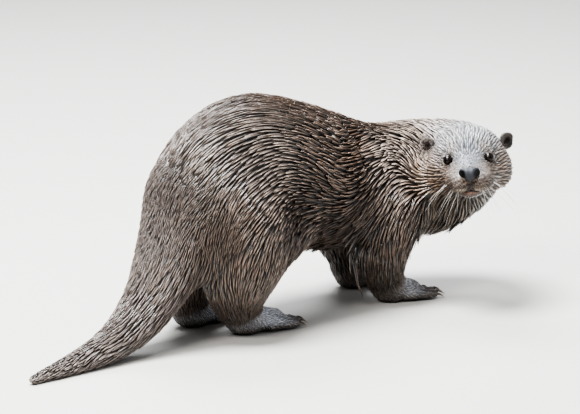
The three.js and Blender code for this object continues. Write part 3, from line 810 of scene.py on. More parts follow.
# ---------------------------------------------------------------- colours, markings, and painted light and shade
COLOURS = {
    "head": (0.27, 0.225, 0.20),
    "lower_jaw": (0.14, 0.105, 0.08),
    "ear": (0.085, 0.06, 0.046),
    "neck": (0.36, 0.285, 0.235),
    "chest": (0.115, 0.071, 0.047),
    "belly": (0.105, 0.065, 0.043),
    "rump": (0.155, 0.119, 0.098),
    "thigh": (0.17, 0.122, 0.094),
    "upper_arm": (0.105, 0.07, 0.05),
    "tail": (0.225, 0.18, 0.157),
    "shank": (0.12, 0.082, 0.06),
    "forearm": (0.07, 0.045, 0.029),
    "foot": (0.19, 0.15, 0.125),
}
MOTTLE = 3.2 * MM  # the size of the mottling on the whisker pads
WHITISH_AND_SHEEN = (0.62, 0.61, 0.62)
BLUE_GREY = (0.33, 0.342, 0.372)
PAINTED_SHEEN_BLUE = (0.84, 0.86, 0.93)
WARM_BROWN = (0.37, 0.25, 0.175)
MOTTLED_BROWN = (0.14, 0.098, 0.07)
PALE_GREY = (0.42, 0.40, 0.385)
PALE_TAN = (0.52, 0.43, 0.33)
DARK_BROWN = (0.045, 0.033, 0.027)
LID_AND_SHADE_BLACK = (0.014, 0.011, 0.010)
LIP_PINK = (0.33, 0.185, 0.145)
THROAT_BROWN = (0.10, 0.075, 0.052)
NECK_GREY_AND_SHEEN = (0.42, 0.345, 0.30)
# The painted sheen on the top of the feet: where its middle is along the foot, how wide it is, and how
# strong.
INSTEP_SHEENS = {"hind": (0.5, 0.4, 1.0), "fore": (0.45, 0.2, 0.65)}
# Markings, and painted sheen where a row says so: the middle and radii in mm, the colour, how strong it is,
# and how soft its edge is. Those of the head are in its own frame, and those off its middle are on both
# sides.
BODY_MARKS_AND_SHEEN = [
    ((206, -20, 166), (44, 44, 36), NECK_GREY_AND_SHEEN, 0.65, 0.5),
    # Painted sheen on the right shoulder, in the neck's grey.
    ((178, -30, 118), (20, 24, 24), NECK_GREY_AND_SHEEN, 0.25, 0.6),
]
HEAD_MARKS_AND_SHEEN = [
    ((-4, 0, -62), (70, 60, 34), THROAT_BROWN, 0.7, 0.4),
    # The crown's pale tone, partly painted sheen on the top of the head.
    ((-20, 0, 32), (46, 44, 22), WHITISH_AND_SHEEN, 0.9, 0.5),
    ((6, 38, -14), (36, 22, 22), WARM_BROWN, 0.8, 0.5),
    ((38, 0, 17), (28, 15, 16), BLUE_GREY, 0.95, 0.4),
    ((52, 14, 3), (13, 9, 7), PALE_GREY, 0.8, 0.5),
    ((30, 18, 23), (9, 9, 5), WARM_BROWN, 0.5, 0.5),
    ((43, 22, -3), (15, 12, 9), WARM_BROWN, 0.6, 0.6),
    ((57, 12, -11), (18, 15, 7.5), MOTTLED_BROWN, 0.85, 0.4),
    ((61, 0, -12), (7, 5.5, 6), DARK_BROWN, 0.85, 0.4),
    ((48, 0, -30), (20, 18, 7), MOTTLED_BROWN, 0.6, 0.5),
    ((-17, 48, 0), (6, 6, 4), PALE_TAN, 0.8, 0.4),
]


def marked(tint, share, colour):
    return tint + share[:, None] * (np.array(colour) - tint)


def markings_and_painted_light(co, owner, edges):
    """The coat's colour at each vertex of the skin: its markings, with painted sheen and painted shade as
    noted.
    """
    tint = spread(part_values(COLOURS, owner, COLOURS["belly"]), edges, BLEND_ROUNDS)
    for middle, radii, colour, strength, soft in BODY_MARKS_AND_SHEEN:
        tint = marked(tint, strength * inside(co, middle, radii, soft), colour)
    q = to_head(co)
    on_ear = on_part(owner, "ear")
    for middle, radii, colour, strength, soft in both_sides(HEAD_MARKS_AND_SHEEN):
        tint = marked(tint, strength * inside(q, middle, radii, soft) * ~on_ear, colour)
    mottling = 0.75 * inside(q, (56, 0, -11), (20, 27, 11), 0.3) * waves(q, MOTTLE, 21)
    tint = tint * (1 + mottling)[:, None].clip(0.15, 2.2)
    tint = with_mouth(tint, q)
    tint = with_eye_rims(tint, q)
    # Painted shade: the ears' hollows painted near black.
    tint = marked(tint, 0.95 * bell(ear_cup(q), 0.95) * on_ear, LID_AND_SHADE_BLACK)
    height = co[:, 2] / MM
    # Painted sheen: pale blue on the tops of the feet, from 5 to 13 mm up.
    tint = marked(tint, instep_sheen(co, owner) * soft_step(height, 5, 13), PAINTED_SHEEN_BLUE)
    # Painted shade: the feet dark brown near the floor, below 2 to 8 mm.
    tint = marked(tint, 0.85 * on_part(owner, "foot") * (1 - soft_step(height, 2, 8)), DARK_BROWN)
    # Painted shade in the clefts between the toes.
    return marked(tint, 0.85 * cleft_depth(co), DARK_BROWN)


def with_mouth(tint, q):
    """The upper lip's pale edge, the pink lower lip, and painted shade: a black line in the slit between
    them, and a dark line in the chin's crease.
    """
    front = soft_step(q[:, 0], 26 * MM, 38 * MM)
    below, beside = q[:, 2] - mouth_height(q), np.abs(q[:, 1])
    edge = 0.85 * (bell(below - 4.0 * MM, 1.5 * MM) * front * soft_step(beside, 3 * MM, 7 * MM))
    tint = marked(tint, edge * soft_step(-beside, -24 * MM, -18 * MM), PALE_TAN)
    lower_lip = bell(below + 3.4 * MM, 2.5 * MM) * front
    tint = marked(tint, lower_lip * bell(q[:, 1] + 1 * MM, 9 * MM), LIP_PINK)
    # Painted shade: the mouth's slit painted black, and the chin's crease painted dark brown.
    tint = marked(tint, 0.97 * bell(below, 1.5 * MM) * front * (beside < 23 * MM), LID_AND_SHADE_BLACK)
    crease = 0.7 * bell(below + 7 * MM, 1.6 * MM) * front
    return marked(tint, crease * bell(q[:, 1], 12 * MM), DARK_BROWN)


def with_eye_rims(tint, q):
    """The pale arc below each eye, and the lids' black edge."""
    for side in SIDES:
        angle, offset = eye_angle(q, side)
        near = lengths(offset) < 13 * MM
        past = angle - lid_edge(offset)
        low = soft_step(-offset[:, 2], 1 * MM, 4 * MM)
        arc = near * 0.6 * low * bell(past - math.radians(22), math.radians(8))
        tint = marked(tint, arc, PALE_GREY)
        tint = marked(tint, near * (1 - soft_step(past, math.radians(6), math.radians(17))), LID_AND_SHADE_BLACK)
    return tint


def instep_sheen(co, owner):
    """How far each point is in the painted sheen on the top of a foot, from 0 to 1."""
    share = np.zeros(len(co))
    for number, name in enumerate(PARTS):
        if name.startswith("foot"):
            low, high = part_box(name)
            middle, width, strength = INSTEP_SHEENS[name.split("_")[1]]
            ahead = (co[:, 0] - low.x) / (high.x - low.x)
            share += strength * (owner == number) * bell(ahead - middle, width)
    return share


def ear_cup(q):
    """Each point's distance from the middle of the nearest ear's cup, in cups; large behind the ears."""
    nearest = np.full(len(q), 9.0)
    for name, side in SIDES.items():
        own = (q - to_head(EARS[name])) @ ear_turn(side) / (np.array(EAR_HALF) * MM)
        reach = np.hypot(own[:, 1] / 0.95, own[:, 2] / 0.95)
        nearest = np.minimum(nearest, reach + 9 * (own[:, 0] < -0.85))
    return nearest


# ---------------------------------------------------------------- the coat's blades
RINGS = np.array([0, 0.33, 0.68])  # shares of a blade's length
RING_WIDTH = np.array([0.75, 1.0, 0.72])
ALONG = np.append(RINGS, 1.0)  # the rings and the tip
RING_RISE = [-0.15, 0.5, 0.9, 1.08]  # their height over the skin, as a share of the coat's depth
BLADE_VERTS = 3 * len(RINGS) + 1
BLADE_RIDGE = 0.42  # how high a blade's middle is over its edges, as a share of half its width
PATCH = 0.003  # a blade's size on the unwrap
DEEP_RIDGE = 1.6  # locks with a ridge this high, in mm, get all the painted shade: their sides painted nearly black
CREST_PAINTED_LIGHT, SIDE_PAINTED_SHADE = 0.35, 1.25  # how much lighter their crest is painted, as painted highlight, and how much darker their sides, as painted shade
LEAN = 1.1  # how far the blades at a lock's sides lean outwards
LOCK_SIDE = 0.62  # from a lock's crest to its sides, in its widths
STEEPEST = 0.85  # how far a lock's sides may sink, as a share of the coat's depth
# How far locks, and then single blades, differ by chance from their style.
LOCK_LENGTH, LOCK_LEVEL, LOCK_SHINE = (0.75, 1.2), (0.8, 1.1), (0.78, 1.25)
BLADE_SHADE, BLADE_WIDTH = (0.9, 1.1), (0.8, 1.2)
TIP_LIFT = 2.2  # how far the tip that stands up most does so, over the style's
FLOOR_GAP = 0.6 * MM  # the blades' least height
CANDIDATES = 2.2  # roots tried for each one there is room for
NEAR_LOCKS = 12  # a root's lock is one of this many round it
MOST_TRIANGLES = 190_000  # in one piece


def blade_faces():
    """One blade's triangles: a closed three-sided strip from its root to its tip."""
    faces = [(0, 2, 1)]
    for ring in range(0, 3 * (len(RINGS) - 1), 3):
        for a, b in ((0, 1), (1, 2), (2, 0)):
            faces += [(ring + a, ring + b, ring + 3 + b), (ring + a, ring + 3 + b, ring + 3 + a)]
    last, tip = 3 * (len(RINGS) - 1), BLADE_VERTS - 1
    faces += [(last, last + 1, tip), (last + 1, last + 2, tip), (last + 2, last, tip)]
    return np.array(faces)


# Locks that hang free behind the right elbow: each a line in mm, from root to tip, and its width in mm.
HANGING = [
    ([(156, 0, 78), (149, 4, 56), (148, -3, 30), (151, -10, 13)], 5.5),
    ([(152, 2, 80), (146, 6, 64), (144, 5, 48), (143, 2, 36)], 4.5),
    ([(134, -12, 100), (127, -12, 95), (119, -9, 88), (111, -6, 80)], 5.5),
    ([(140, -8, 92), (133, -7, 86), (126, -5, 79), (119, -3, 70)], 5.5),
    ([(146, -4, 86), (141, -2, 78), (137, 0, 70), (132, 2, 61)], 4.5),
]
HANGING_BLADES = 9
HANGING_SHADE, HANGING_WIDTH = (0.8, 1.3), (0.9, 1.5)


class Skin:
    """The skin's mesh as arrays, with what the coat needs to know at each vertex."""

    def __init__(self, piece, owner, edges):
        mesh = piece.data
        self.co = places_of(mesh)
        self.normals = normals_of(mesh)
        self.faces = triangles_of(mesh)
        self.owner = owner
        self.tree = BVHTree.FromPolygons(self.co.tolist(), self.faces.tolist())
        self.style = styles_at(self.co, owner, edges)
        depth = part_values(COAT_DEPTH, owner, OTHER_DEPTH)[:, None]
        self.depth = spread(depth, edges, BLEND_ROUNDS)
        self.flow = unit(spread(combed(self.co), edges, BLEND_ROUNDS))
        self.tint = markings_and_painted_light(self.co, owner, edges)
        a, b, c = (self.co[self.faces[:, k]] for k in range(3))
        self.area = lengths(np.cross(b - a, c - a)) / 2

    def at_faces(self, values, faces):
        return values[self.faces[faces]].mean(axis=1)

    def style_at(self, faces):
        return dict(zip(STYLE_NAMES, self.at_faces(self.style, faces).T))

    def way_at(self, faces):
        """The skin's normal and the lie of the hair."""
        normal = unit(self.at_faces(self.normals, faces))
        return normal, laid(self.at_faces(self.flow, faces), normal)

    def nearest(self, points):
        """The nearest point of the skin to each point, and the number of its face."""
        found = [self.tree.find_nearest(p)[::2] for p in points.tolist()]
        return np.array([tuple(f[0]) for f in found]), np.array([f[1] for f in found])


def scattered(skin, rng):
    """Roots spread evenly over the skin, each at its own spacing from its neighbours."""
    style = skin.style_at(np.arange(len(skin.faces)))
    spacing = style["spacing"] * MM
    chance = np.cumsum(skin.area / spacing**2 * (style["hair"] > 0.5))
    count = int(chance[-1] * CANDIDATES)
    faces = np.searchsorted(chance, rng.random(count) * chance[-1])
    u, v = rng.random((2, count, 1))
    over = (u + v > 1)[:, 0]
    u[over], v[over] = 1 - u[over], 1 - v[over]
    weights = np.concatenate([1 - u - v, u, v], axis=1)
    roots = np.einsum("nk,nkx->nx", weights, skin.co[skin.faces[faces]])
    kept = thinned(roots, spacing[faces])
    return roots[kept], faces[kept]


def oval(offset, ahead, width, step):
    """How far offsets reach, measured in widths across the hair and in steps along it."""
    along = np.sum(offset * ahead, axis=-1)
    across = lengths(offset - along[..., None] * ahead)
    return np.hypot(along / step, across / width)


def thinned(points, spacing, ahead=None, width=None):
    """The numbers of the points that keep their spacing from all those before them.

    With the hair's way ahead, the spacing is along it, and the width is kept across it.
    """
    tree = tree_of(points)
    alive = np.ones(len(points), bool)
    for number, point in enumerate(points.tolist()):
        if not alive[number]:
            continue
        near = np.array([other for _, other, _ in tree.find_range(point, spacing[number])])
        near = near[near > number]
        if ahead is not None:
            reach = oval(points[near] - points[number], ahead[number], width[number], spacing[number])
            near = near[reach < 1]
        alive[near] = False
    return np.flatnonzero(alive)


def gathered(roots, ahead, width, step, rng):
    """The roots in the middle of the locks, and each root's lock."""
    order = rng.permutation(len(roots))
    middles = order[thinned(roots[order], step[order], ahead[order], width[order])]
    tree = tree_of(roots[middles])
    near = np.array([[n for _, n, _ in tree.find_n(p, NEAR_LOCKS)] for p in roots.tolist()])
    choice = middles[near]
    reach = oval(roots[:, None] - roots[choice], ahead[choice], width[choice], step[choice])
    return middles, near[np.arange(len(roots)), reach.argmin(axis=1)]


def guides(skin, roots, faces, rng):
    """The line over the skin that each lock follows, at the rings and the tip."""
    style = skin.style_at(faces)
    count = len(roots)
    length = style["length"] * MM * rng.uniform(*LOCK_LENGTH, count)
    twist = 0.7 * waves(roots, 70 * MM, 11) + 0.6 * waves(roots, 22 * MM, 12)
    twist = (twist + rng.normal(size=count) * 0.45) * style["ragged"]
    place, face = roots, faces
    places = [place]
    for share, following in zip(ALONG[:-1], ALONG[1:]):
        normal, ahead = skin.way_at(face)
        ahead = turned(ahead, normal, twist)
        place, face = skin.nearest(place + ahead * ((following - share) * length)[:, None])
        places.append(place)
    return np.stack(places, 1)


def grown(skin, rng):
    """The lines that all blades follow: places, normals and ways ahead at each ring and the tip."""
    roots, faces = scattered(skin, rng)
    style = skin.style_at(faces)
    depth = skin.at_faces(skin.depth, faces)[:, 0] * MM
    normal, ahead = skin.way_at(faces)
    middles, lock = gathered(roots, ahead, style["lock"] * MM, style["step"] * MM, rng)
    lines = guides(skin, roots[middles], faces[middles], rng)
    level = rng.uniform(*LOCK_LEVEL, len(middles))[lock]
    stand = (rng.random(len(middles)) ** 2 * TIP_LIFT)[lock] * style["stand"] * MM
    shine = rng.uniform(*LOCK_SHINE, len(middles))[lock]
    offset = roots - roots[middles][lock]
    sideways = np.cross(normal, ahead)
    across = np.clip(np.sum(offset * sideways, axis=1) / (LOCK_SIDE * style["lock"] * MM), -1, 1)
    crest = depth - np.minimum(style["ridge"] * MM, STEEPEST * depth) * across**2
    places, ups = [], []
    for ring, share in enumerate(ALONG):
        loose = 1 - style["gather"] * share**1.5
        place, face = skin.nearest(lines[lock, ring] + offset * loose[:, None])
        normal, ahead = skin.way_at(face)
        height = crest * level * RING_RISE[ring] + stand * share**2.5
        lifted = place + normal * height[:, None]
        lifted[:, 2] = np.maximum(lifted[:, 2], FLOOR_GAP)
        places.append(lifted)
        ups.append(unit(normal + np.cross(normal, ahead) * (across * LEAN)[:, None]))
    places = np.stack(places, 1)
    # Painted light and shade: each lock's crest is painted lighter and its sides darker, the more so the
    # higher its ridge.
    groove = np.minimum(style["ridge"] / DEEP_RIDGE, 1)
    shade = rng.uniform(*BLADE_SHADE, len(roots)) * shine
    shade = shade * (1 + CREST_PAINTED_LIGHT * groove - SIDE_PAINTED_SHADE * groove * across**2)
    tint = skin.at_faces(skin.tint, faces) * shade[:, None]
    width = style["blade"] * MM * rng.uniform(*BLADE_WIDTH, len(roots))
    return blades_from(skin, places, np.stack(ups, 1), tint, faces, width, roots)


def blades_from(skin, places, ups, tint, faces, width, roots):
    """Blades as arrays, a row to each, with the part of the skin that each one's root is on."""
    owner = skin.owner[skin.faces[faces, 0]]
    return {"places": places, "ups": ups, "tint": tint, "owner": owner, "width": width, "roots": roots}


def hanging(skin, rng):
    """The blades of the wet locks that hang free of the skin, behind the right elbow."""
    made = [hung_lock(skin, np.array(line) * MM, width * MM, rng) for line, width in HANGING]
    return {key: np.concatenate([lock[key] for lock in made]) for key in made[0]}


def hung_lock(skin, line, width, rng):
    """One lock: its blades side by side at the root, and together at the tip."""
    _, face = skin.nearest(line[:1])
    normal, _ = skin.way_at(face)
    across = unit(np.cross(line[-1] - line[0], normal[0]))
    share = rng.uniform(-0.5, 0.5, HANGING_BLADES)
    close = (1 - ALONG) ** 0.8
    places = line[None] + share[:, None, None] * width * close[None, :, None] * across
    ups = unit(normal[0] + across * (LEAN * share)[:, None])
    tint = skin.at_faces(skin.tint, face) * rng.uniform(*HANGING_SHADE, (HANGING_BLADES, 1))
    width = rng.uniform(*HANGING_WIDTH, HANGING_BLADES) * MM
    ups = np.repeat(ups[:, None], len(line), axis=1)
    roots = np.repeat(line[:1], HANGING_BLADES, axis=0)
    return blades_from(skin, places, ups, tint, np.repeat(face, HANGING_BLADES), width, roots)


def unwrapped(points):
    """Each point's place on an unwrap of its part: round its middle line, and along it, from 0 to 1."""
    middle = points.mean(axis=0)
    _, _, axes = np.linalg.svd(points - middle, full_matrices=False)
    along, across, over = ((points - middle) @ axes.T).T
    turn = (np.arctan2(over, across) / (2 * math.pi)) % 1
    travel = (along - along.min()) / (np.ptp(along) + 1e-9)
    return np.column_stack([turn, travel]) * (1 - 2 * PATCH) + PATCH


def coat_piece(name, blades, chosen):
    """The chosen blades as one mesh of closed strips."""
    lines, ups, width, tint = (blades[k][chosen] for k in ("places", "ups", "width", "tint"))
    count, rings = len(lines), len(RINGS)
    aheads = unit(np.diff(lines, axis=1))
    sides = unit(np.cross(ups[:, :rings], aheads))
    half = width[:, None, None] * RING_WIDTH[None, :, None] / 2
    places = np.empty((count, BLADE_VERTS, 3))
    left, top, right = (places[:, k : 3 * rings : 3] for k in range(3))
    left[:] = lines[:, :rings] + sides * half
    top[:] = lines[:, :rings] + ups[:, :rings] * half * BLADE_RIDGE
    right[:] = lines[:, :rings] - sides * half
    places[:, -1] = lines[:, -1]
    places[:, :, 2] = np.maximum(places[:, :, 2], 0.1 * MM)
    faces = (blade_faces()[None] + BLADE_VERTS * np.arange(count)[:, None, None]).reshape(-1, 3)
    mesh = mesh_from(name, places.reshape(-1, 3), faces)
    shares = np.append(np.repeat(RINGS, 3), 1.0)
    keep_values(mesh, "along", np.tile(shares, count))
    keep_values(mesh, "tint", np.repeat(tint, BLADE_VERTS, axis=0))
    across = np.append(np.tile([-0.5, 0, 0.5], rings), 0)
    patch = PATCH * np.column_stack([across, shares - 0.5])
    spots = unwrapped(blades["roots"][chosen])[:, None] + patch[None]
    uv = mesh.uv_layers.new(name="OFBake")
    uv.data.foreach_set("uv", spots.reshape(-1, 2)[faces.ravel()].astype(np.float32).ravel())
    return placed(name, mesh)


def mesh_from(name, places, faces):
    mesh = bpy.data.meshes.new(name)
    mesh.vertices.add(len(places))
    mesh.vertices.foreach_set("co", places.astype(np.float32).ravel())
    mesh.loops.add(faces.size)
    mesh.loops.foreach_set("vertex_index", faces.astype(np.int32).ravel())
    mesh.polygons.add(len(faces))
    mesh.polygons.foreach_set("loop_start", np.arange(0, faces.size, 3, dtype=np.int32))
    mesh.update(calc_edges=True)
    mesh.shade_smooth()
    return mesh


# ---------------------------------------------------------------- eyes, nose, whiskers and claws
NOSE_MIDDLE = to_head(centre("nose_pad"))
NOSE_HALF = (7.4, 12.2, 8.3)  # half depth, width and height, in mm
NOSTRIL = (8.6, 1.6)  # left of the middle, and up, in mm
# How wide the nose is at some heights, in half widths.
NOSE_HEIGHTS = (-1, -0.75, -0.4, -0.1, 0.35, 0.65, 0.85, 1)
NOSE_WIDTHS = (0.3, 0.42, 0.6, 0.92, 1.04, 1.2, 1.45, 1.9)
IRIS_EDGE = 0.62  # its angle off the gaze
CORNEA_BULGE, CORNEA_WIDTH = 0.05, 0.6


def made_ball(name, subdivisions, shape):
    """A piece from a ball: a function turns its unit vertices into places, and gives each a mark."""
    bm = bmesh.new()
    bmesh.ops.create_icosphere(bm, subdivisions=subdivisions, radius=1)
    ball = np.array([v.co for v in bm.verts])
    places, mark = shape(ball)
    for vert, place in zip(bm.verts, places):
        vert.co = place
    bmesh.ops.recalc_face_normals(bm, faces=bm.faces)
    piece = piece_from(name, bm)
    keep_values(piece.data, "mark", mark)
    return piece


def make_eye(name, side):
    """A wet eyeball with a bulging cornea. The mark is the angle off the gaze as a share of the iris's."""
    gaze = (EYE_GAZE * [1, side, 1]) @ HEAD_AXES

    def shape(ball):
        angle = np.arccos(np.clip(ball @ gaze, -1, 1))
        bulge = 1 + CORNEA_BULGE * bell(angle, CORNEA_WIDTH)
        return np.array(EYES[name]) + ball * (EYE_RADIUS * bulge)[:, None], angle / IRIS_EDGE

    return made_ball(f"eyeball_{name}", 4, shape)


def nose_shape(ball):
    """The nose pad: broad on top, pointed below, and with comma-shaped nostrils, which the mark darkens as
    painted shade inside them.
    """
    x, y, z = ball.T
    deep, wide, high = NOSE_HALF
    shape = np.column_stack([x * deep, y * wide * np.interp(z, NOSE_HEIGHTS, NOSE_WIDTHS), z * high])
    left, up = NOSTRIL
    mark = np.zeros(len(ball))
    for side in (-1, 1):
        flat = shape[:, 1:] - [side * left, up]
        hole = bell(lengths(flat / [2.3, 3.1]), 1.0) ** 0.6
        tail = bell(lengths((flat - [side * 1.6, -2.4]) / [2.4, 1.3]), 1.0)
        mark = np.maximum(mark, np.maximum(hole, 0.9 * tail) * (x > 0.1))
    groove = bell(shape[:, 1], 0.7) * soft_step(-shape[:, 2], 0.5, 3.0)
    shape[:, 0] -= 3.2 * mark + 0.8 * groove * (x > 0)
    shape[:, 0] += 0.7 * bell(np.abs(shape[:, 1]) - 4.2, 2.4) * soft_step(x, 0, 0.5)
    shape[:, 2] += 0.8
    return from_head((shape + NOSE_MIDDLE / MM) * MM), np.clip(mark * 1.3, 0, 1)


def make_nose():
    return made_ball("nose", 5, nose_shape)


def drawn(bm, points, radii, sides):
    """A closed tapering rod through some points, made by extruding a ring."""
    points = [Vector(p) for p in points]
    ring = bmesh.ops.create_circle(bm, cap_ends=True, segments=sides, radius=1)["verts"]
    verts, edges = ring, list(dict.fromkeys(e for v in ring for e in v.link_edges))
    place_ring(verts, points[0], points[1] - points[0], radii[0])
    for number in range(1, len(points)):
        parts = bmesh.ops.extrude_edge_only(bm, edges=edges)["geom"]
        verts = [part for part in parts if isinstance(part, bmesh.types.BMVert)]
        edges = [part for part in parts if isinstance(part, bmesh.types.BMEdge)]
        edges = [edge for edge in edges if all(vert in verts for vert in edge.verts)]
        before, after = points[number - 1], points[min(number + 1, len(points) - 1)]
        place_ring(verts, points[number], after - before, radii[number])
    bmesh.ops.contextual_create(bm, geom=edges)


def place_ring(verts, middle, ahead, radius):
    """Moves a ring's vertices, in the order they come, to a circle round a middle."""
    turn = ahead.to_track_quat("Z", "Y")
    for number, vert in enumerate(verts):
        angle = 2 * math.pi * number / len(verts)
        vert.co = middle + turn @ Vector((radius * math.cos(angle), radius * math.sin(angle), 0))


WHISKERS = 8  # on each side
WHISKER_RADIUS = (0.27 * MM, 0.06 * MM)  # at the root and the tip
WHISKER_SCALE, WHISKER_JITTER, WHISKER_SAG = (0.65, 1.05), 2.5, 0.2
WHISKER_RINGS, WHISKER_SIDES = 7, 5
# The roots and the ways of the highest and the lowest whisker on the left, in mm in the head's frame.
WHISKER_ROOTS = ((50, 25, -10), (54, 13, -18))
WHISKER_WAYS = ((-14, 34, -22), (-3, 9, -34))
WHISKER_ROW = np.array([-3.5, 1.0, 1.5])  # from one row to the next, in mm


def make_whiskers(skin, rng):
    """Curved hairs in three rows on each side of the muzzle."""
    bm = bmesh.new()
    tops, ends = np.array([WHISKER_ROOTS, WHISKER_WAYS]).transpose(1, 0, 2)
    for side in SIDES.values():
        for number, share in enumerate(np.linspace(0, 1, WHISKERS)):
            start, way = tops + share * (ends - tops)
            start = start + WHISKER_ROW * (number % 3 - 1)
            way = way * rng.uniform(*WHISKER_SCALE) + rng.normal(size=3) * WHISKER_JITTER
            whisker(bm, skin, start * [1, side, 1] * MM, way * [1, side, 1] * MM)
    bmesh.ops.recalc_face_normals(bm, faces=bm.faces)
    return piece_from("whiskers", bm)


def whisker(bm, skin, start, way):
    """One whisker from the skin's nearest point, bending down towards its tip."""
    root, _ = skin.tree.find_nearest(from_head(start).tolist())[:2]
    shares = np.linspace(0, 1, WHISKER_RINGS)
    sag = np.outer(shares**2, [0, 0, -WHISKER_SAG * np.linalg.norm(way)])
    points = np.array(root) + (np.outer(shares, way) + sag) @ HEAD_AXES
    thick, thin = WHISKER_RADIUS
    drawn(bm, points, thick + (thin - thick) * shares, WHISKER_SIDES)


CLAW_RADIUS, CLAW_ARCH, CLAW_TAPER = 1.7 * MM, 1.1 * MM, 0.86
CLAW_RINGS, CLAW_SIDES = 6, 10


def make_claw(name):
    """A curved, tapering claw in the place of its solid. The mark is the share of the way to its tip."""
    root, tip, _ = claw_line(name)
    bm = bmesh.new()
    shares = np.linspace(0, 1, CLAW_RINGS)
    arch = np.outer(np.sin(shares * math.pi), [0, 0, CLAW_ARCH])
    points = root + np.outer(shares, tip - root) + arch
    drawn(bm, points, CLAW_RADIUS * (1 - CLAW_TAPER * shares**1.3), CLAW_SIDES)
    for vert in bm.verts:
        vert.co.z = max(vert.co.z, SOLE)
    bmesh.ops.recalc_face_normals(bm, faces=bm.faces)
    piece = piece_from("horn_" + name[len("claw_"):], bm)
    travel = (places_of(piece.data) - root) @ (tip - root) / ((tip - root) @ (tip - root))
    keep_values(piece.data, "mark", travel)
    return piece


# ---------------------------------------------------------------- materials
# Each material: its shader's sockets; the factors that its colour is the product of, each an attribute or the
# scale and detail of a noise, with the stops of its ramp; and its bump's noise, strength and distance.
MATERIALS = {
    "floor": {"sockets": {"Roughness": 0.75, "Base Color": (0.50, 0.485, 0.46, 1)}},
    "wet_coat": {
        "sockets": {"Roughness": 0.3, "Specular IOR Level": 0.9, "Coat Weight": 0.8, "Coat Roughness": 0.17},
        "factors": [
            ("tint", None),
            # darker towards the roots, nearly black there, as painted shade where the blades lie under each
            # other, and lighter towards the tips
            ("along", [(0, 0.05), (0.35, 0.4), (0.75, 1.1), (1, 1.4)]),
            ((900, 2), [(0.25, 0.8), (0.75, 1.15)]),
        ],
    },
    "skin": {
        "sockets": {
            "Roughness": 0.42, "Specular IOR Level": 0.5, "Coat Weight": 0.15, "Coat Roughness": 0.25,
        },
        "factors": [
            ("tint", None),
            # the skin painted dark where the coat covers it, as the coat's painted shade; bare skin keeps its
            # colour
            ("skin_light", [(0, 0.10), (1, 0.95)]),
            ((500, 3), [(0.3, 0.75), (0.7, 1.15)]),
        ],
        "bump": ((700, 3), 0.35, 0.5 * MM),
    },
    "wet_eye": {
        "sockets": {"Roughness": 0.03, "Specular IOR Level": 0.32},
        "factors": [("mark", [
            (0, (0.002, 0.002, 0.002)),
            (0.5, (0.003, 0.002, 0.002)),
            (0.62, (0.016, 0.009, 0.006)),
            (0.95, (0.010, 0.006, 0.005)),
        ])],
    },
    "moist_nose": {
        "sockets": {"Roughness": 0.5, "Specular IOR Level": 0.3, "Coat Weight": 0.05, "Coat Roughness": 0.3},
        "factors": [
            # the nostrils painted black by the mark, as painted shade inside them
            ("mark", [
                (0, (0.04, 0.042, 0.049)),
                (0.3, (0.028, 0.029, 0.034)),
                (0.45, (0.002, 0.002, 0.002)),
            ]),
            ((1500, 1), [(0.3, 0.7), (0.65, 1.15)]),
        ],
        "bump": ((1300, 2), 0.5, 0.4 * MM),
    },
    "horn": {
        "sockets": {"Roughness": 0.35, "Specular IOR Level": 0.5},
        "factors": [
            ("mark", [(0, (0.06, 0.045, 0.035)), (0.6, (0.16, 0.12, 0.09)), (1, (0.50, 0.43, 0.35))]),
            ((900, 2), [(0.3, 0.8), (0.7, 1.1)]),
        ],
    },
    "whisker": {
        "sockets": {"Roughness": 0.3, "Specular IOR Level": 0.5},
        "factors": [((60, 1), [(0.3, (0.62, 0.58, 0.52)), (0.7, (0.85, 0.83, 0.80))])],
    },
}


def node_of(tree, kind, **values):
    """A new shader node with some of its sockets set."""
    node = tree.nodes.new(kind)
    for name, value in values.items():
        node.inputs[name].default_value = value
    return node


def noise_of(tree, scale, detail):
    coordinates = tree.nodes.new("ShaderNodeTexCoord")
    noise = node_of(tree, "ShaderNodeTexNoise", Scale=scale, Detail=detail)
    tree.links.new(coordinates.outputs["Object"], noise.inputs["Vector"])
    return noise.outputs["Fac"]


def attribute_of(tree, name, output):
    node = tree.nodes.new("ShaderNodeAttribute")
    node.attribute_name = name
    return node.outputs[output]


def curve_of(tree, value, stops):
    """A socket run through a ramp of (place, grey or colour) stops."""
    ramp = tree.nodes.new("ShaderNodeValToRGB")
    elements = ramp.color_ramp.elements
    while len(elements) < len(stops):
        elements.new(0.5)
    for element, (place, shade) in zip(elements, stops):
        element.position = place
        element.color = (*(shade if isinstance(shade, tuple) else (shade,) * 3), 1)
    tree.links.new(value, ramp.inputs["Fac"])
    return ramp.outputs["Color"]


def factor_of(tree, source, stops):
    """A colour from an attribute or a noise, run through its ramp if it has one."""
    if stops is None:
        return attribute_of(tree, source, "Color")
    value = attribute_of(tree, source, "Fac") if isinstance(source, str) else noise_of(tree, *source)
    return curve_of(tree, value, stops)


def product(tree, a, b):
    mix = tree.nodes.new("ShaderNodeMix")
    mix.data_type = "RGBA"
    mix.blend_type = "MULTIPLY"
    mix.inputs["Factor"].default_value = 1
    tree.links.new(a, mix.inputs["A"])
    tree.links.new(b, mix.inputs["B"])
    return mix.outputs["Result"]


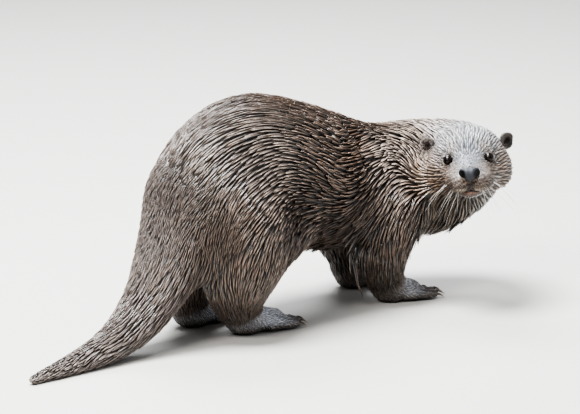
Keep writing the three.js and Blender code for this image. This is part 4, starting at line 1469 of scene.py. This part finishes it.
def material_of(name):
    """A new material, made as its row of the table says."""
    row = MATERIALS[name]
    material = bpy.data.materials.new(name)
    material.use_nodes = True
    tree = material.node_tree
    shader = tree.nodes["Principled BSDF"]
    for socket, value in row["sockets"].items():
        shader.inputs[socket].default_value = value
    factors = [factor_of(tree, *factor) for factor in row.get("factors", [])]
    while len(factors) > 1:
        factors[:2] = [product(tree, *factors[:2])]
    for colour in factors:
        tree.links.new(colour, shader.inputs["Base Color"])
    if "bump" in row:
        noise, strength, distance = row["bump"]
        height = noise_of(tree, *noise)
        bump = node_of(tree, "ShaderNodeBump", Strength=strength, Distance=distance)
        tree.links.new(height, bump.inputs["Height"])
        tree.links.new(bump.outputs["Normal"], shader.inputs["Normal"])
    return material


# ---------------------------------------------------------------- making it all
# How lit each part's skin is where it shows between the blades: the lower the value, the darker the painted
# shade of the coat on it.
SKIN_LIGHT = {"foot": 0.45, "head": 0.08, "lower_jaw": 0.4, "ear": 0.5, "shank": 0.15, "forearm": 0.15}


def ridden(piece, material, slot, *replaced):
    piece.data.materials.append(material)
    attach(piece, "root")
    if replaced:
        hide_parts(*replaced)


def dress(piece, owner, edges):
    """Gives the skin its colours and lays the coat on it, one piece to each part."""
    skin = Skin(piece, owner, edges)
    keep_values(piece.data, "tint", skin.tint)
    # Painted shade of the coat on the skin: less on the feet and face, and none on the bare muzzle.
    skin_light = spread(part_values(SKIN_LIGHT, owner, 0.0)[:, None], edges, 20)[:, 0]
    skin_light = np.maximum(skin_light, inside(to_head(skin.co), (58, 0, 0), (34, 34, 30)))
    keep_values(piece.data, "skin_light", skin_light)
    piece.data.shade_smooth()
    ridden(piece, material_of("skin"), "coat", *PARTS)
    blades = grown(skin, np.random.default_rng(7))
    free = hanging(skin, np.random.default_rng(9))
    blades = {key: np.concatenate([blades[key], free[key]]) for key in blades}
    coat = material_of("wet_coat")
    for number, name in enumerate(PARTS):
        chosen = np.flatnonzero(blades["owner"] == number)
        shares = 1 + len(chosen) * len(blade_faces()) // MOST_TRIANGLES
        order = np.argsort(blades["roots"][chosen, 0])
        for share, group in enumerate(np.array_split(chosen[order], shares)):
            ending = f"_{share + 1}" if shares > 1 else ""
            ridden(coat_piece(f"coat_{name}{ending}", blades, group), coat, "coat")
    return skin


def build():
    make_camera()
    make_stage()
    for name, setting in LIGHTS.items():
        make_light(name, *setting)
    skin = dress(*make_skin())
    wet = material_of("wet_eye")
    for name, side in SIDES.items():
        ridden(make_eye(name, side), wet, "eye", f"eye_{name}")
    ridden(make_nose(), material_of("moist_nose"), "bare_skin", "nose_pad")
    ridden(make_whiskers(skin, np.random.default_rng(3)), material_of("whisker"), "coat")
    horn = material_of("horn")
    for name in sorted(n for n in NODES if n.startswith("claw_")):
        ridden(make_claw(name), horn, "claw", name)


build()
